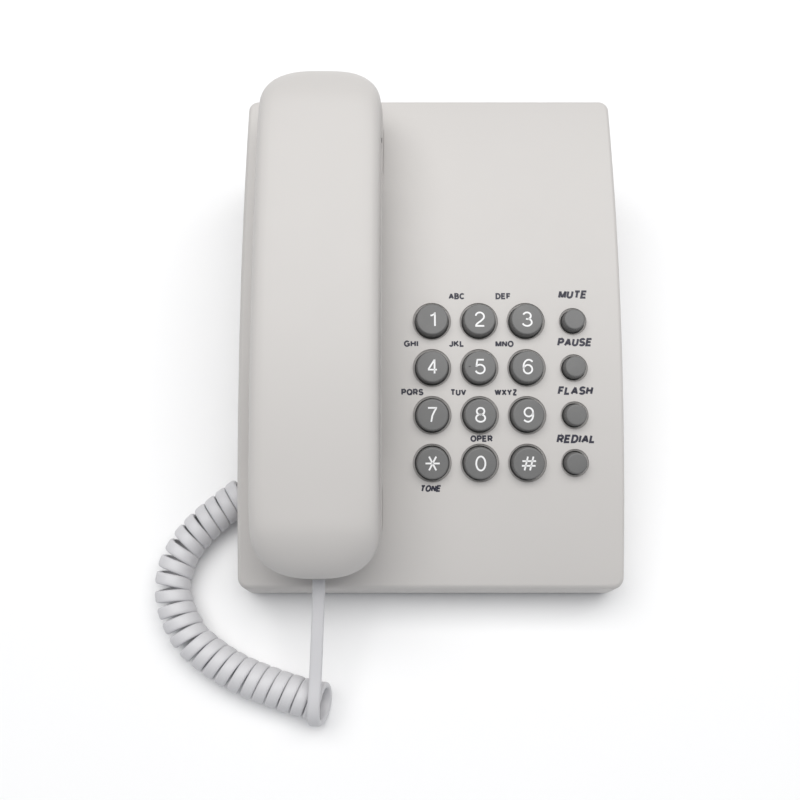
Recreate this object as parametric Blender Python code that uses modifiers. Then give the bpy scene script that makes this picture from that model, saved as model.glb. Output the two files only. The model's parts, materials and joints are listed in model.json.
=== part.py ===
"""Corded desk telephone, modelled as it comes apart on a bench.

Metres.  +X is the right-hand side, +Y the rear and +Z up.  The origin is on the table, under the
middle of the body.  The face is an arc that rises from the front edge to the rear, and most pieces
are placed by their distance along that arc from the front edge and their height over it.
"""

import math

import bmesh
import bpy
from mathutils import Matrix, Vector

# Body
BODY_WIDTH = 0.153
BODY_DEPTH = 0.200
FRONT_HEIGHT = 0.022
REAR_HEIGHT = 0.062
FACE_RADIUS = 0.523
WALL = 0.0025
CORNER_RADIUS = 0.0042
EDGE_ROUND = 0.0018
FOOT_HEIGHT = 0.002
RIM_HEIGHT = 0.006
TRAY_STEP = 0.0008
TRAY_LIP = 0.003
GAP = 0.0003

# Keys
COLUMN_PITCH = 0.01875
ROW_PITCH = 0.0188
KEYPAD_MARGIN = 0.01975
FIRST_COLUMN_X = BODY_WIDTH / 2 - KEYPAD_MARGIN - 3 * COLUMN_PITCH
LAST_ROW_ALONG = 0.0497
KEY_RADIUS = 0.0065
SMALL_KEY_RADIUS = 0.0044
KEY_HEIGHT = 0.0040
KEY_EDGE = 0.0004
KEY_RIM_WIDTH = 0.0010
KEY_RIM_DEPTH = 0.0008
KEY_STEM_RADIUS = 0.0030
KEY_FLANGE = 0.0009
KEY_FLANGE_THICKNESS = 0.0012
KEY_BOTTOM = 0.0052
DOME_GAP = 0.0004
DOME_TAPER = 0.0006
MAT_TOP = 0.0085
MAT_THICKNESS = 0.0012
BOARD_THICKNESS = 0.0016
BOARD_POST_RADIUS = 0.0025
ROUND_SIDES = 20

# Handset
HANDSET_WIDTH = 0.0476
HANDSET_SIDE_MARGIN = 0.0094
HANDSET_X = -BODY_WIDTH / 2 + HANDSET_SIDE_MARGIN + HANDSET_WIDTH / 2
HANDSET_FRONT = 0.0090
HANDSET_REAR_MARGIN = 0.0013
HANDSET_TOP = 0.0330
PARTING_HEIGHT = 0.0190
GRIP_UNDERSIDE = 0.0140
END_SLOPE = 0.0170
END_RADIUS = 0.0160
SHELL_WALL = 0.0020

# The two ends of the handset that drop into the wells, and the wells round them
EAR_LENGTH = 0.0430
EAR_MARGIN = 0.0240
MOUTH_LENGTH = 0.0380
MOUTH_ALONG = HANDSET_FRONT + 0.0230
CAP_WIDTH = HANDSET_WIDTH - 2 * 0.0018
CAP_DEPTH = 0.0050
CAP_TOP = 0.0165
CAP_RADIUS = 0.0130
CAP_SPREAD = 0.0050
WELL_CLEARANCE = 0.0016
WELL_DEPTH = 0.0060
RECEIVER_RADIUS = CAP_WIDTH / 2 - SHELL_WALL - 0.0045
RECEIVER_MAGNET_RADIUS = 0.0070
MIC_ALONG = 0.0080
MIC_RADIUS = 0.0048
SOUND_HOLE_RADIUS = 0.0009
SOUND_HOLE_SPREAD = 0.0055
WEIGHT_SIZE = (0.017, 0.044, 0.0060)

# Hook switch, under the ear well
HOOK_TRAVEL = 0.0040
HOOK_ASIDE = 0.0130
HOOK_ALONG = -0.0120
HOOK_SIZE = (0.0080, 0.0044)
HOOK_HOLE_GAP = 0.0004
HOOK_FLANGE = 0.0015
HOOK_BOARD_DEPTH = 0.0245
HOOK_BOARD = ((-0.021, -0.007), (0.0125, 0.008))
HOOK_CONTACT = ((-0.0145, -0.0065), (-0.0065, -0.0005))
HOOK_CONTACT_HEIGHT = 0.0065
HOOK_POST_RADIUS = 0.0024
HOOK_POST_PLACES = ((-0.0175, 0.004), (0.0090, 0.004))
SPRING_OUTER = 0.0030
SPRING_INNER = 0.0021

# Fasteners and feet
SCREW_RADIUS = 0.0014
SCREW_HEAD_RADIUS = 0.0029
HEAD_SEAT_DEPTH = 0.0030
HEAD_SINK = 0.0008
SCREW_LENGTH = 0.0105
BOSS_RADIUS = 0.0036
TRAY_BOSS_WALL = 0.0012
SCREW_X = BODY_WIDTH / 2 - 0.0095
LEFT_SCREW_Y = BODY_DEPTH / 2 - 0.058
RIGHT_SCREW_Y = BODY_DEPTH / 2 - 0.012
FOOT_PLACE = (BODY_WIDTH / 2 - 0.015, BODY_DEPTH / 2 - 0.030)
FOOT_RADIUS = 0.0060
FOOT_SEAT = 0.0010
HANDSET_SCREW_INSET = 0.0230
HANDSET_SCREW_LENGTH = 0.0110
HANDSET_BOSS_RADIUS = 0.0032
HANDSET_HEAD_SEAT = 0.0012

# Ballast and ringer, on the tray's floor
BALLAST = ((-0.045, -0.020), (0.045, 0.045))
BALLAST_THICKNESS = 0.0020
RINGER_PLACE = (0.030, -BODY_DEPTH / 2 + 0.050)
RINGER_RADIUS = 0.0140
SOUND_SLOT = (0.018, 0.0016)
SOUND_SLOT_PITCH = 0.0040

# Sockets: width, height and depth of each opening, and the wall of its housing
CORD_PLUG = (0.0076, 0.0060, 0.0110)
CORD_PLUG_TAIL = 0.0030
PLUG_CLEARANCE = 0.0004
SOCKET_WALL = 0.0015
BASE_JACK_PLACE = (-BODY_DEPTH / 2 + 0.0415, 0.0125)
HANDSET_JACK_HEIGHT = 0.0080
LINE_SOCKET = (0.0100, 0.0074, 0.0120)
LINE_JACK_PLACE = (0.040, 0.0200)

# Slide switches
KNOB_SIZE = (0.0050, 0.0028)
SWITCH_TRAVEL = 0.0030
SWITCH_RECESS = 0.0014
RECESS_MARGIN = 0.0020
SWITCH_BODY_DEPTH = 0.0060
RINGER_SWITCH_PLACE = (BODY_DEPTH / 2 - 0.040, 0.0200)
MODE_SWITCH_PLACE = (0.0, 0.0200)

# Cord: the curled run lies on the table round the body's front left corner, then the lead goes up
# to the handset.  The run is measured from that corner, the lead from the middle of the handset.
COIL_RADIUS = 0.0077
LEAD_RADIUS = 0.0020
COIL_ROUTE = [
    (-0.0052, 0.0378), (-0.0120, 0.0335), (-0.0200, 0.0252), (-0.0261, 0.0155), (-0.0284, 0.0035),
    (-0.0259, -0.0070), (-0.0197, -0.0176), (-0.0111, -0.0250), (-0.0006, -0.0313), (0.0095, -0.0353),
    (0.0196, -0.0387), (0.0295, -0.0415), (0.0320, -0.0422),
]
LEAD_ROUTE = [
    (-0.0003, -0.0050, 0.0290), (-0.0007, -0.0150, 0.0255), (-0.0011, -0.0250, 0.0221),
    (-0.0015, -0.0345, 0.0193), (-0.0018, -0.0420, 0.0180), (-0.0019, -0.0460, 0.0178),
]

COLOURS = {
    "body_plastic": ((0.66, 0.64, 0.62), 0.42, 0.0),
    "key_plastic": ((0.19, 0.19, 0.185), 0.38, 0.0),
    "cord_plastic": ((0.56, 0.56, 0.57), 0.40, 0.0),
    "clear_plastic": ((0.75, 0.76, 0.76), 0.20, 0.0),
    "dark_plastic": ((0.03, 0.03, 0.03), 0.45, 0.0),
    "foot_rubber": ((0.05, 0.05, 0.05), 0.80, 0.0),
    "mat_rubber": ((0.45, 0.45, 0.45), 0.70, 0.0),
    "board": ((0.05, 0.20, 0.08), 0.50, 0.0),
    "steel": ((0.60, 0.60, 0.60), 0.35, 1.0),
}

PLAIN = Matrix()
SIDE_PLANE = Matrix(((0, 0, 1, 0), (1, 0, 0, 0), (0, 1, 0, 0), (0, 0, 0, 1)))


# ---------------------------------------------------------------------------------------------
# Where things are
# ---------------------------------------------------------------------------------------------

def face_arc():
    """Centre (y, z) of the face's arc and the face's tilt at the front edge."""
    rise = REAR_HEIGHT - FRONT_HEIGHT
    chord = math.hypot(BODY_DEPTH, rise)
    reach = math.sqrt(FACE_RADIUS**2 - (chord / 2) ** 2)
    centre_y = reach * rise / chord
    centre_z = (FRONT_HEIGHT + REAR_HEIGHT) / 2 - reach * BODY_DEPTH / chord
    return centre_y, centre_z, math.asin((centre_y + BODY_DEPTH / 2) / FACE_RADIUS)


ARC_Y, ARC_Z, FRONT_TILT = face_arc()
FACE_LENGTH = (FRONT_TILT + math.asin((BODY_DEPTH / 2 - ARC_Y) / FACE_RADIUS)) * FACE_RADIUS
HANDSET_REAR = FACE_LENGTH - HANDSET_REAR_MARGIN
EAR_ALONG = HANDSET_REAR - EAR_MARGIN


def face_point(x, along, height=0.0):
    """Point over the face, `along` from its front edge and `height` above it."""
    tilt = FRONT_TILT - along / FACE_RADIUS
    radius = FACE_RADIUS + height
    return Vector((x, ARC_Y - radius * math.sin(tilt), ARC_Z + radius * math.cos(tilt)))


def face_frame(x, along, height=0.0):
    """Matrix at a point over the face: Z along the face's normal, Y up the face to the rear."""
    tilt = FRONT_TILT - along / FACE_RADIUS
    return Matrix.Translation(face_point(x, along, height)) @ Matrix.Rotation(tilt, 4, "X")


EAR_FRAME = face_frame(HANDSET_X, EAR_ALONG)
MOUTH_FRAME = face_frame(HANDSET_X, MOUTH_ALONG)
BOARD_FRAME = face_frame(0, LAST_ROW_ALONG + 1.5 * ROW_PITCH)
HOOK_FRAME = EAR_FRAME @ Matrix.Translation((HOOK_ASIDE, HOOK_ALONG, 0))


def key_places():
    """Name, face frame and cap radius of each key, row by row from the rear."""
    rows = [("1", "2", "3", "mute"), ("4", "5", "6", "pause"),
            ("7", "8", "9", "flash"), ("star", "0", "hash", "redial")]
    places = []
    for row, names in enumerate(rows):
        along = LAST_ROW_ALONG + (len(rows) - 1 - row) * ROW_PITCH
        for column, name in enumerate(names):
            x = FIRST_COLUMN_X + column * COLUMN_PITCH
            radius = SMALL_KEY_RADIUS if column == 3 else KEY_RADIUS
            places.append(("key_" + name, face_frame(x, along), radius))
    return places


def screw_places():
    """Plan position of each screw that holds the two halves of the body together."""
    return [(-SCREW_X, -LEFT_SCREW_Y), (-SCREW_X, LEFT_SCREW_Y), (SCREW_X, -RIGHT_SCREW_Y),
            (SCREW_X, RIGHT_SCREW_Y)]


# ---------------------------------------------------------------------------------------------
# Shapes
# ---------------------------------------------------------------------------------------------

def clear_scene():
    """Removes what the startup file holds and makes the two collections."""
    for item in list(bpy.data.objects):
        bpy.data.objects.remove(item)
    homes = []
    for name in ("desk_telephone", "cutters"):
        home = bpy.data.collections.new(name)
        bpy.context.scene.collection.children.link(home)
        homes.append(home)
    return homes


PARTS, CUTTERS = clear_scene()


def material(name):
    """The named plastic, rubber or metal, made on first use."""
    found = bpy.data.materials.get(name)
    if found:
        return found
    colour, roughness, metallic = COLOURS[name]
    made = bpy.data.materials.new(name)
    made.use_nodes = True
    shader = made.node_tree.nodes["Principled BSDF"]
    shader.inputs["Base Color"].default_value = (*colour, 1.0)
    shader.inputs["Roughness"].default_value = roughness
    shader.inputs["Metallic"].default_value = metallic
    return made


def place(name, mesh, matrix, look=None):
    """Object for a mesh: a piece with its material, or a cutter when it has no look."""
    item = bpy.data.objects.new(name, mesh)
    item.matrix_world = matrix
    if look:
        PARTS.objects.link(item)
        mesh.materials.append(material(look))
    else:
        CUTTERS.objects.link(item)
        item.hide_render = True
        item.display_type = "WIRE"
    return item


def from_bmesh(name, form, matrix, look=None):
    """Object for the finished bmesh."""
    bmesh.ops.recalc_face_normals(form, faces=form.faces)
    mesh = bpy.data.meshes.new(name)
    form.to_mesh(mesh)
    form.free()
    return place(name, mesh, matrix, look)


def box(name, low, high, matrix=PLAIN, look=None, edge=0.0):
    """Box between two corners, with its edges rounded by `edge`."""
    form = bmesh.new()
    bmesh.ops.create_cube(form, size=1.0)
    for vert in form.verts:
        vert.co = [low[i] if vert.co[i] < 0 else high[i] for i in range(3)]
    if edge:
        bmesh.ops.bevel(form, geom=form.edges[:], offset=edge, segments=2, profile=0.5, affect="EDGES")
    return from_bmesh(name, form, matrix, look)


def rods(name, radius, low, high, matrices, look=None, top_radius=None, sides=ROUND_SIDES):
    """Rods, or cones, from `low` to `high` along Z of each of the matrices, in one mesh."""
    form = bmesh.new()
    for matrix in matrices:
        bmesh.ops.create_cone(
            form, cap_ends=True, segments=sides, radius1=radius,
            radius2=radius if top_radius is None else top_radius, depth=high - low,
            matrix=matrix @ Matrix.Translation((0, 0, (low + high) / 2)))
    return from_bmesh(name, form, PLAIN, look)


def rod(name, radius, low, high, matrix=PLAIN, look=None, sides=ROUND_SIDES):
    """One rod whose object has its origin at the matrix."""
    item = rods(name, radius, low, high, [PLAIN], look, sides=sides)
    item.matrix_world = matrix
    return item


def turned(name, profile, matrix, look=None, sides=ROUND_SIDES):
    """Round piece from a profile of (radius, height) points that runs from its top to its bottom."""
    mesh = bpy.data.meshes.new(name)
    mesh.from_pydata([(r, 0, z) for r, z in profile], [(i, i + 1) for i in range(len(profile) - 1)], [])
    item = place(name, mesh, matrix, look)
    turn = item.modifiers.new("turn", "SCREW")
    turn.axis = "Z"
    turn.steps = turn.render_steps = sides
    turn.use_merge_vertices = True
    turn.merge_threshold = 0.00001
    return item


def rounded_rectangle(x0, x1, y0, y1, radius, steps=4):
    """Outline with round corners, anticlockwise."""
    corners = [(x1 - radius, y1 - radius, 0), (x0 + radius, y1 - radius, 90),
               (x0 + radius, y0 + radius, 180), (x1 - radius, y0 + radius, 270)]
    points = []
    for x, y, start in corners:
        for step in range(steps + 1):
            angle = math.radians(start + 90 * step / steps)
            points.append((x + radius * math.cos(angle), y + radius * math.sin(angle)))
    return points


def oblong(width, length, radius):
    """Rounded rectangle about the origin."""
    return rounded_rectangle(-width / 2, width / 2, -length / 2, length / 2, radius)


def slab(name, outline, low, high, matrix=PLAIN, look=None):
    """Flat outline given thickness from `low` to `high`."""
    curve = bpy.data.curves.new(name, "CURVE")
    curve.dimensions = "2D"
    curve.fill_mode = "BOTH"
    curve.extrude = (high - low) / 2
    line = curve.splines.new("POLY")
    line.points.add(len(outline) - 1)
    for point, (x, y) in zip(line.points, outline):
        point.co = (x, y, 0, 1)
    line.use_cyclic_u = True
    drawn = bpy.data.objects.new(name + "_outline", curve)
    return curve_to_mesh(name, drawn, matrix @ Matrix.Translation((0, 0, (low + high) / 2)), look)


def curve_to_mesh(name, drawn, matrix, look=None):
    """Object with the mesh of a curve object, which it replaces."""
    bpy.context.scene.collection.objects.link(drawn)
    seen = drawn.evaluated_get(bpy.context.evaluated_depsgraph_get())
    mesh = bpy.data.meshes.new_from_object(seen)
    bpy.data.objects.remove(drawn)
    form = bmesh.new()
    form.from_mesh(mesh)
    bmesh.ops.remove_doubles(form, verts=form.verts, dist=0.000001)
    return from_bmesh(name, form, matrix, look)


def tapered(name, outline_low, outline_high, low, high, matrix=PLAIN, look=None):
    """Solid between two outlines that have the same number of points."""
    form = bmesh.new()
    rings = [[form.verts.new((x, y, z)) for x, y in outline]
             for outline, z in ((outline_low, low), (outline_high, high))]
    count = len(outline_low)
    for i in range(count):
        j = (i + 1) % count
        form.faces.new((rings[0][i], rings[0][j], rings[1][j], rings[1][i]))
    form.faces.new(rings[0][::-1])
    form.faces.new(rings[1])
    return from_bmesh(name, form, matrix, look)


def boolean(item, other, operation):
    """Adds a Boolean modifier."""
    step = item.modifiers.new(operation.lower(), "BOOLEAN")
    step.operation = operation
    step.solver = "EXACT"
    step.object = other
    return item


def cut(item, *cutters):
    """Cuts each of the cutters out of the piece."""
    for cutter in cutters:
        boolean(item, cutter, "DIFFERENCE")
    return item


def join(item, *additions):
    """Adds each of the shapes to the piece."""
    for addition in additions:
        boolean(item, addition, "UNION")
    return item


def smooth_route(points, spacing):
    """Points about `spacing` apart on a smooth curve through the given ones."""
    points = [Vector(p) for p in points]
    padded = [2 * points[0] - points[1], *points, 2 * points[-1] - points[-2]]
    fine = []
    for a, b, c, d in zip(padded, padded[1:], padded[2:], padded[3:]):
        for step in range(20):
            t = step / 20
            fine.append(0.5 * ((2 * b) + (c - a) * t + (2 * a - 5 * b + 4 * c - d) * t**2
                               + (3 * b - a - 3 * c + d) * t**3))
    fine.append(points[-1])
    lengths = [0.0]
    for a, b in zip(fine, fine[1:]):
        lengths.append(lengths[-1] + (b - a).length)
    count = max(2, round(lengths[-1] / spacing) + 1)
    route, at = [], 0
    for i in range(count):
        want = lengths[-1] * i / (count - 1)
        while at < len(fine) - 2 and lengths[at + 1] < want:
            at += 1
        share = (want - lengths[at]) / (lengths[at + 1] - lengths[at])
        route.append(fine[at].lerp(fine[at + 1], share))
    return route


def tube(name, route, radius, look, resolution=2):
    """Tube along a route, as a curve with filled caps."""
    curve = bpy.data.curves.new(name, "CURVE")
    curve.dimensions = "3D"
    curve.bevel_depth = radius
    curve.bevel_resolution = resolution
    curve.use_fill_caps = True
    line = curve.splines.new("POLY")
    line.points.add(len(route) - 1)
    for point, where in zip(line.points, route):
        point.co = (*where, 1)
    return curve_to_mesh(name, bpy.data.objects.new(name + "_line", curve), PLAIN, look)


# ---------------------------------------------------------------------------------------------
# Body
# ---------------------------------------------------------------------------------------------

def side_outline(inset):
    """The body seen from its side, as (y, z), with its face moved in by `inset`."""
    past = 0.020
    steps = 16
    points = []
    for step in range(steps + 1):
        point = face_point(0, -past + (FACE_LENGTH + 2 * past) * step / steps, -inset)
        points.append((point.y, point.z))
    points += [(points[-1][0], -0.030), (points[0][0], -0.030)]
    return points


def plan_outline(inset):
    """The body seen from above, with its walls moved in by `inset`."""
    x, y = BODY_WIDTH / 2 - inset, BODY_DEPTH / 2 - inset
    return rounded_rectangle(-x, x, -y, y, max(CORNER_RADIUS - inset, 0.0012))


def body_form(name, inset, low, look=None):
    """The body's outer form, moved in by `inset` and open-ended at `low`."""
    column = slab(name, plan_outline(inset), low, REAR_HEIGHT + 0.020, look=look)
    side = slab(name + "_side", side_outline(inset), -BODY_WIDTH, BODY_WIDTH, SIDE_PLANE)
    return boolean(column, side, "INTERSECT")


def well_outline(length, extra):
    """Outline of a well, or of the wall round it when `extra` is the wall."""
    width = CAP_WIDTH + 2 * (WELL_CLEARANCE + extra)
    return oblong(width, length + 2 * (WELL_CLEARANCE + extra), CAP_RADIUS + WELL_CLEARANCE + extra)


def wells():
    """Name, frame and length of the well for each end of the handset."""
    return [("ear_well", EAR_FRAME, EAR_LENGTH), ("mouth_well", MOUTH_FRAME, MOUTH_LENGTH)]


def board_posts():
    """Frames of the posts that carry the main board, by its corners."""
    x0, x1, y0, y1 = board_bounds()
    inset = BOARD_POST_RADIUS + 0.001
    return [BOARD_FRAME @ Matrix.Translation((x, y, 0))
            for x in (x0 + inset, x1 - inset) for y in (y0 + inset, y1 - inset)]


def board_bounds():
    """Edges of the main board in its own frame: left, right, front and rear."""
    left = HANDSET_X + CAP_WIDTH / 2 + WELL_CLEARANCE + WALL + 0.0015
    right = FIRST_COLUMN_X + 3 * COLUMN_PITCH + SMALL_KEY_RADIUS + 0.007
    reach = 1.5 * ROW_PITCH + KEY_RADIUS + 0.012
    return left, right, -reach, reach


def board_level():
    """Depth of the main board's upper side under the face."""
    return MAT_TOP + MAT_THICKNESS + GAP


def hook_posts():
    """Frames of the two posts that carry the hook switch's board."""
    return [HOOK_FRAME @ Matrix.Translation((x, y, 0)) for x, y in HOOK_POST_PLACES]


def cover_cavity():
    """The hollow of the upper cover, less all that stays solid in it."""
    cavity = body_form("cover_cavity", WALL, -0.020)
    for name, frame, length in wells():
        cut(cavity, slab(name + "_wall", well_outline(length, WALL), -(WELL_DEPTH + WALL), 0.030, frame))
    ceiling = 0.100
    bosses = [Matrix.Translation((x, y, 0)) for x, y in screw_places()]
    cut(cavity, rods("screw_bosses", BOSS_RADIUS, tray_boss_top() + GAP, ceiling, bosses, sides=12))
    cut(cavity, rods("board_posts", BOARD_POST_RADIUS, -board_level() + GAP, 0.010, board_posts(), sides=10))
    cut(cavity, rods("hook_posts", HOOK_POST_RADIUS, -HOOK_BOARD_DEPTH + GAP, 0.0, hook_posts(), sides=10))
    return cavity


def upper_cover():
    """Face, side walls, wells and bosses of the body, in one moulding."""
    cover = body_form("upper_cover", 0.0, RIM_HEIGHT - 2 * EDGE_ROUND, look="body_plastic")
    rounding = cover.modifiers.new("rounding", "BEVEL")
    rounding.width = EDGE_ROUND
    rounding.segments = 2
    rounding.limit_method = "ANGLE"
    rounding.angle_limit = math.radians(40)
    wide = BODY_WIDTH
    cut(cover, box("below_rim", (-wide, -wide, -0.030), (wide, wide, RIM_HEIGHT)))
    cut(cover, cover_cavity())
    for name, frame, length in wells():
        cut(cover, slab(name + "_pocket", well_outline(length, 0), -WELL_DEPTH, 0.030, frame))
    bosses = [Matrix.Translation((x, y, 0)) for x, y in screw_places()]
    pilot_top = RIM_HEIGHT + SCREW_LENGTH
    cut(cover, rods("screw_pilots", SCREW_RADIUS + GAP, -0.010, pilot_top, bosses, sides=12))
    cut_key_holes(cover)
    cut_switch_slots(cover)
    cut_socket_holes(cover)
    width, length = HOOK_SIZE
    hole = oblong(width + 2 * HOOK_HOLE_GAP, length + 2 * HOOK_HOLE_GAP, 0.0015)
    return cut(cover, slab("hook_hole", hole, -0.020, 0.0, HOOK_FRAME))


def cut_key_holes(cover):
    """A bore with a bevelled rim for each key."""
    for kind, radius in (("digit", KEY_RADIUS), ("small", SMALL_KEY_RADIUS)):
        frames = [frame for _, frame, key_radius in key_places() if key_radius == radius]
        bore = radius + GAP
        cut(cover, rods(kind + "_bores", bore, -WALL - 0.002, 0.004, frames))
        slope = KEY_RIM_WIDTH / KEY_RIM_DEPTH
        low, high = -2 * KEY_RIM_DEPTH, 0.5 * KEY_RIM_DEPTH
        wide_low = bore + slope * (low + KEY_RIM_DEPTH)
        wide_high = bore + slope * (high + KEY_RIM_DEPTH)
        cut(cover, rods(kind + "_rims", wide_low, low, high, frames, top_radius=wide_high))


def key(name, frame, radius):
    """Round key with a flange that the cover holds down."""
    flange_top = -WALL - GAP
    flange_low = flange_top - KEY_FLANGE_THICKNESS
    profile = [(0, KEY_HEIGHT), (radius - KEY_EDGE, KEY_HEIGHT), (radius, KEY_HEIGHT - KEY_EDGE),
               (radius, flange_top), (radius + KEY_FLANGE, flange_top), (radius + KEY_FLANGE, flange_low),
               (KEY_STEM_RADIUS, flange_low), (KEY_STEM_RADIUS, -KEY_BOTTOM), (0, -KEY_BOTTOM)]
    return turned(name, profile, frame, "key_plastic")


def keypad_mat():
    """Rubber sheet with a dome under each key."""
    x0, x1, y0, y1 = board_bounds()
    clear = 2 * BOARD_POST_RADIUS + 0.002
    mat = box("keypad_mat", (x0 + clear, y0 + clear, -MAT_TOP - MAT_THICKNESS),
              (x1 - clear, y1 - clear, -MAT_TOP), BOARD_FRAME, "mat_rubber")
    for name, frame, _ in key_places():
        dome_top = -KEY_BOTTOM - DOME_GAP
        join(mat, rods(name + "_dome", KEY_STEM_RADIUS, -MAT_TOP - 0.0006, dome_top, [frame],
                       top_radius=KEY_STEM_RADIUS - DOME_TAPER, sides=8))
    return mat


def main_board():
    """Circuit board that the keypad mat lies on."""
    x0, x1, y0, y1 = board_bounds()
    top = -board_level()
    box("main_board", (x0, y0, top - BOARD_THICKNESS), (x1, y1, top), BOARD_FRAME, "board")


def tray_boss_top():
    """Height of the bosses in the lower cover that the screws pass through."""
    return RIM_HEIGHT + 0.0010


def lower_cover():
    """Tray that closes the body from below, with seats for its feet and screws."""
    floor_top = FOOT_HEIGHT + WALL
    cover = slab("lower_cover", plan_outline(TRAY_STEP), FOOT_HEIGHT, RIM_HEIGHT - GAP, look="body_plastic")
    lip = WALL + GAP
    join(cover, slab("tray_lip", plan_outline(lip), FOOT_HEIGHT + 0.001, RIM_HEIGHT + TRAY_LIP))
    cut(cover, slab("tray_pocket", plan_outline(lip + 0.0018), floor_top, 0.050))
    places = [Matrix.Translation((x, y, 0)) for x, y in screw_places()]
    join(cover, rods("tray_bosses", BOSS_RADIUS + TRAY_BOSS_WALL, FOOT_HEIGHT + 0.001, tray_boss_top(), places,
                     sides=12))
    cut(cover, rods("tray_head_seats", SCREW_HEAD_RADIUS + GAP, -0.002, FOOT_HEIGHT + HEAD_SEAT_DEPTH, places,
                    sides=16))
    cut(cover, rods("tray_bores", SCREW_RADIUS + GAP, -0.002, 0.020, places, sides=12))
    feet = [Matrix.Translation((x, y, 0)) for x, y in foot_places()]
    cut(cover, rods("foot_seats", FOOT_RADIUS + GAP, -0.002, FOOT_HEIGHT + FOOT_SEAT, feet))
    x, y = RINGER_PLACE
    half_x, half_y = SOUND_SLOT[0] / 2, SOUND_SLOT[1] / 2
    for i in range(5):
        slot_y = y + (i - 2) * SOUND_SLOT_PITCH
        cut(cover, box(f"sound_slot_{i}", (x - half_x, slot_y - half_y, -0.002),
                       (x + half_x, slot_y + half_y, 0.010)))
    jack_y, jack_z = BASE_JACK_PLACE
    half = CORD_PLUG[0] / 2 + PLUG_CLEARANCE + SOCKET_WALL + GAP
    low = jack_z - CORD_PLUG[1] / 2 - PLUG_CLEARANCE - SOCKET_WALL - GAP
    inner = -BODY_WIDTH / 2 + WALL + CORD_PLUG[2] + 2 * SOCKET_WALL
    cut(cover, box("jack_clearance", (-BODY_WIDTH, jack_y - half, low), (inner, jack_y + half, 0.030)))
    return cover


def foot_places():
    """Plan position of each rubber foot."""
    return [(x * FOOT_PLACE[0], y * FOOT_PLACE[1]) for x in (-1, 1) for y in (-1, 1)]


def feet():
    """Round rubber feet, each in a shallow seat."""
    top = FOOT_HEIGHT + FOOT_SEAT - GAP
    names = ["front_left", "rear_left", "front_right", "rear_right"]
    for side, (x, y) in zip(names, foot_places()):
        profile = [(0, top), (FOOT_RADIUS, top), (FOOT_RADIUS, 0.0005), (FOOT_RADIUS - 0.0005, 0), (0, 0)]
        turned("foot_" + side, profile, Matrix.Translation((x, y, 0)), "foot_rubber", sides=16)


def screw(name, matrix, length, head_radius, head_height, radius, sides=12):
    """Screw whose head is at the bottom and whose shank points up."""
    top = head_height + length
    profile = [(0, top), (radius * 0.6, top), (radius, top - radius), (radius, head_height),
               (head_radius, head_height), (head_radius, 0.0003), (head_radius - 0.0003, 0), (0, 0)]
    return turned(name, profile, matrix, "steel", sides=sides)


def cover_screws():
    """The four screws of the body."""
    names = ["front_left", "rear_left", "front_right", "rear_right"]
    head_low = FOOT_HEIGHT + HEAD_SINK
    head_height = HEAD_SEAT_DEPTH - HEAD_SINK - GAP
    for side, (x, y) in zip(names, screw_places()):
        screw("cover_screw_" + side, Matrix.Translation((x, y, head_low)), SCREW_LENGTH, SCREW_HEAD_RADIUS,
              head_height, SCREW_RADIUS)


def base_inside():
    """Ballast plate and ringer, which rest on the floor of the lower cover."""
    floor = FOOT_HEIGHT + WALL + GAP
    low, high = BALLAST
    box("ballast_plate", (*low, floor), (*high, floor + BALLAST_THICKNESS), look="steel")
    x, y = RINGER_PLACE
    profile = [(0, 0.0062), (RINGER_RADIUS * 0.45, 0.0062), (RINGER_RADIUS * 0.45, 0.0050),
               (RINGER_RADIUS, 0.0036), (RINGER_RADIUS, 0), (0, 0)]
    turned("ringer", profile, Matrix.Translation((x, y, floor)), "steel")


# ---------------------------------------------------------------------------------------------
# Hook switch
# ---------------------------------------------------------------------------------------------

def hook_switch():
    """Plunger that the handset holds down, its spring, and the switch on its board."""
    width, length = HOOK_SIZE
    flange_top = -(WELL_DEPTH + WALL + GAP + HOOK_TRAVEL)
    flange_low = flange_top - HOOK_FLANGE
    plunger = slab("hook_plunger", oblong(width, length, 0.0013), flange_low, -CAP_DEPTH - GAP, HOOK_FRAME,
                   look="key_plastic")
    flange = oblong(width + 2 * HOOK_FLANGE, length + 2 * HOOK_FLANGE, 0.0015)
    join(plunger, slab("hook_flange", flange, flange_low, flange_top, HOOK_FRAME))
    board_top = -HOOK_BOARD_DEPTH
    low, high = HOOK_BOARD
    box("hook_board", (*low, board_top - BOARD_THICKNESS), (*high, board_top), HOOK_FRAME, "board")
    low, high = HOOK_CONTACT
    box("hook_contact", (*low, board_top + GAP), (*high, board_top + HOOK_CONTACT_HEIGHT), HOOK_FRAME,
        "dark_plastic")
    spring_low, spring_top = board_top + GAP, flange_low - GAP
    ring = [(SPRING_OUTER, spring_top), (SPRING_OUTER, spring_low), (SPRING_INNER, spring_low),
            (SPRING_INNER, spring_top)]
    turned("hook_spring", ring + ring[:1], HOOK_FRAME, "steel", sides=16)


# ---------------------------------------------------------------------------------------------
# Sockets, plugs and slide switches
# ---------------------------------------------------------------------------------------------

def socket(name, opening, frame, look="dark_plastic"):
    """Housing open at its mouth, which is at the frame's origin and faces its -Y."""
    half_x, half_z, depth = opening[0] / 2, opening[1] / 2, opening[2]
    wall = SOCKET_WALL
    housing = box(name, (-half_x - wall, 0, -half_z - wall), (half_x + wall, depth + wall, half_z + wall),
                  frame, look)
    return cut(housing, box(name + "_hollow", (-half_x, -0.010, -half_z), (half_x, depth, half_z), frame))


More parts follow.
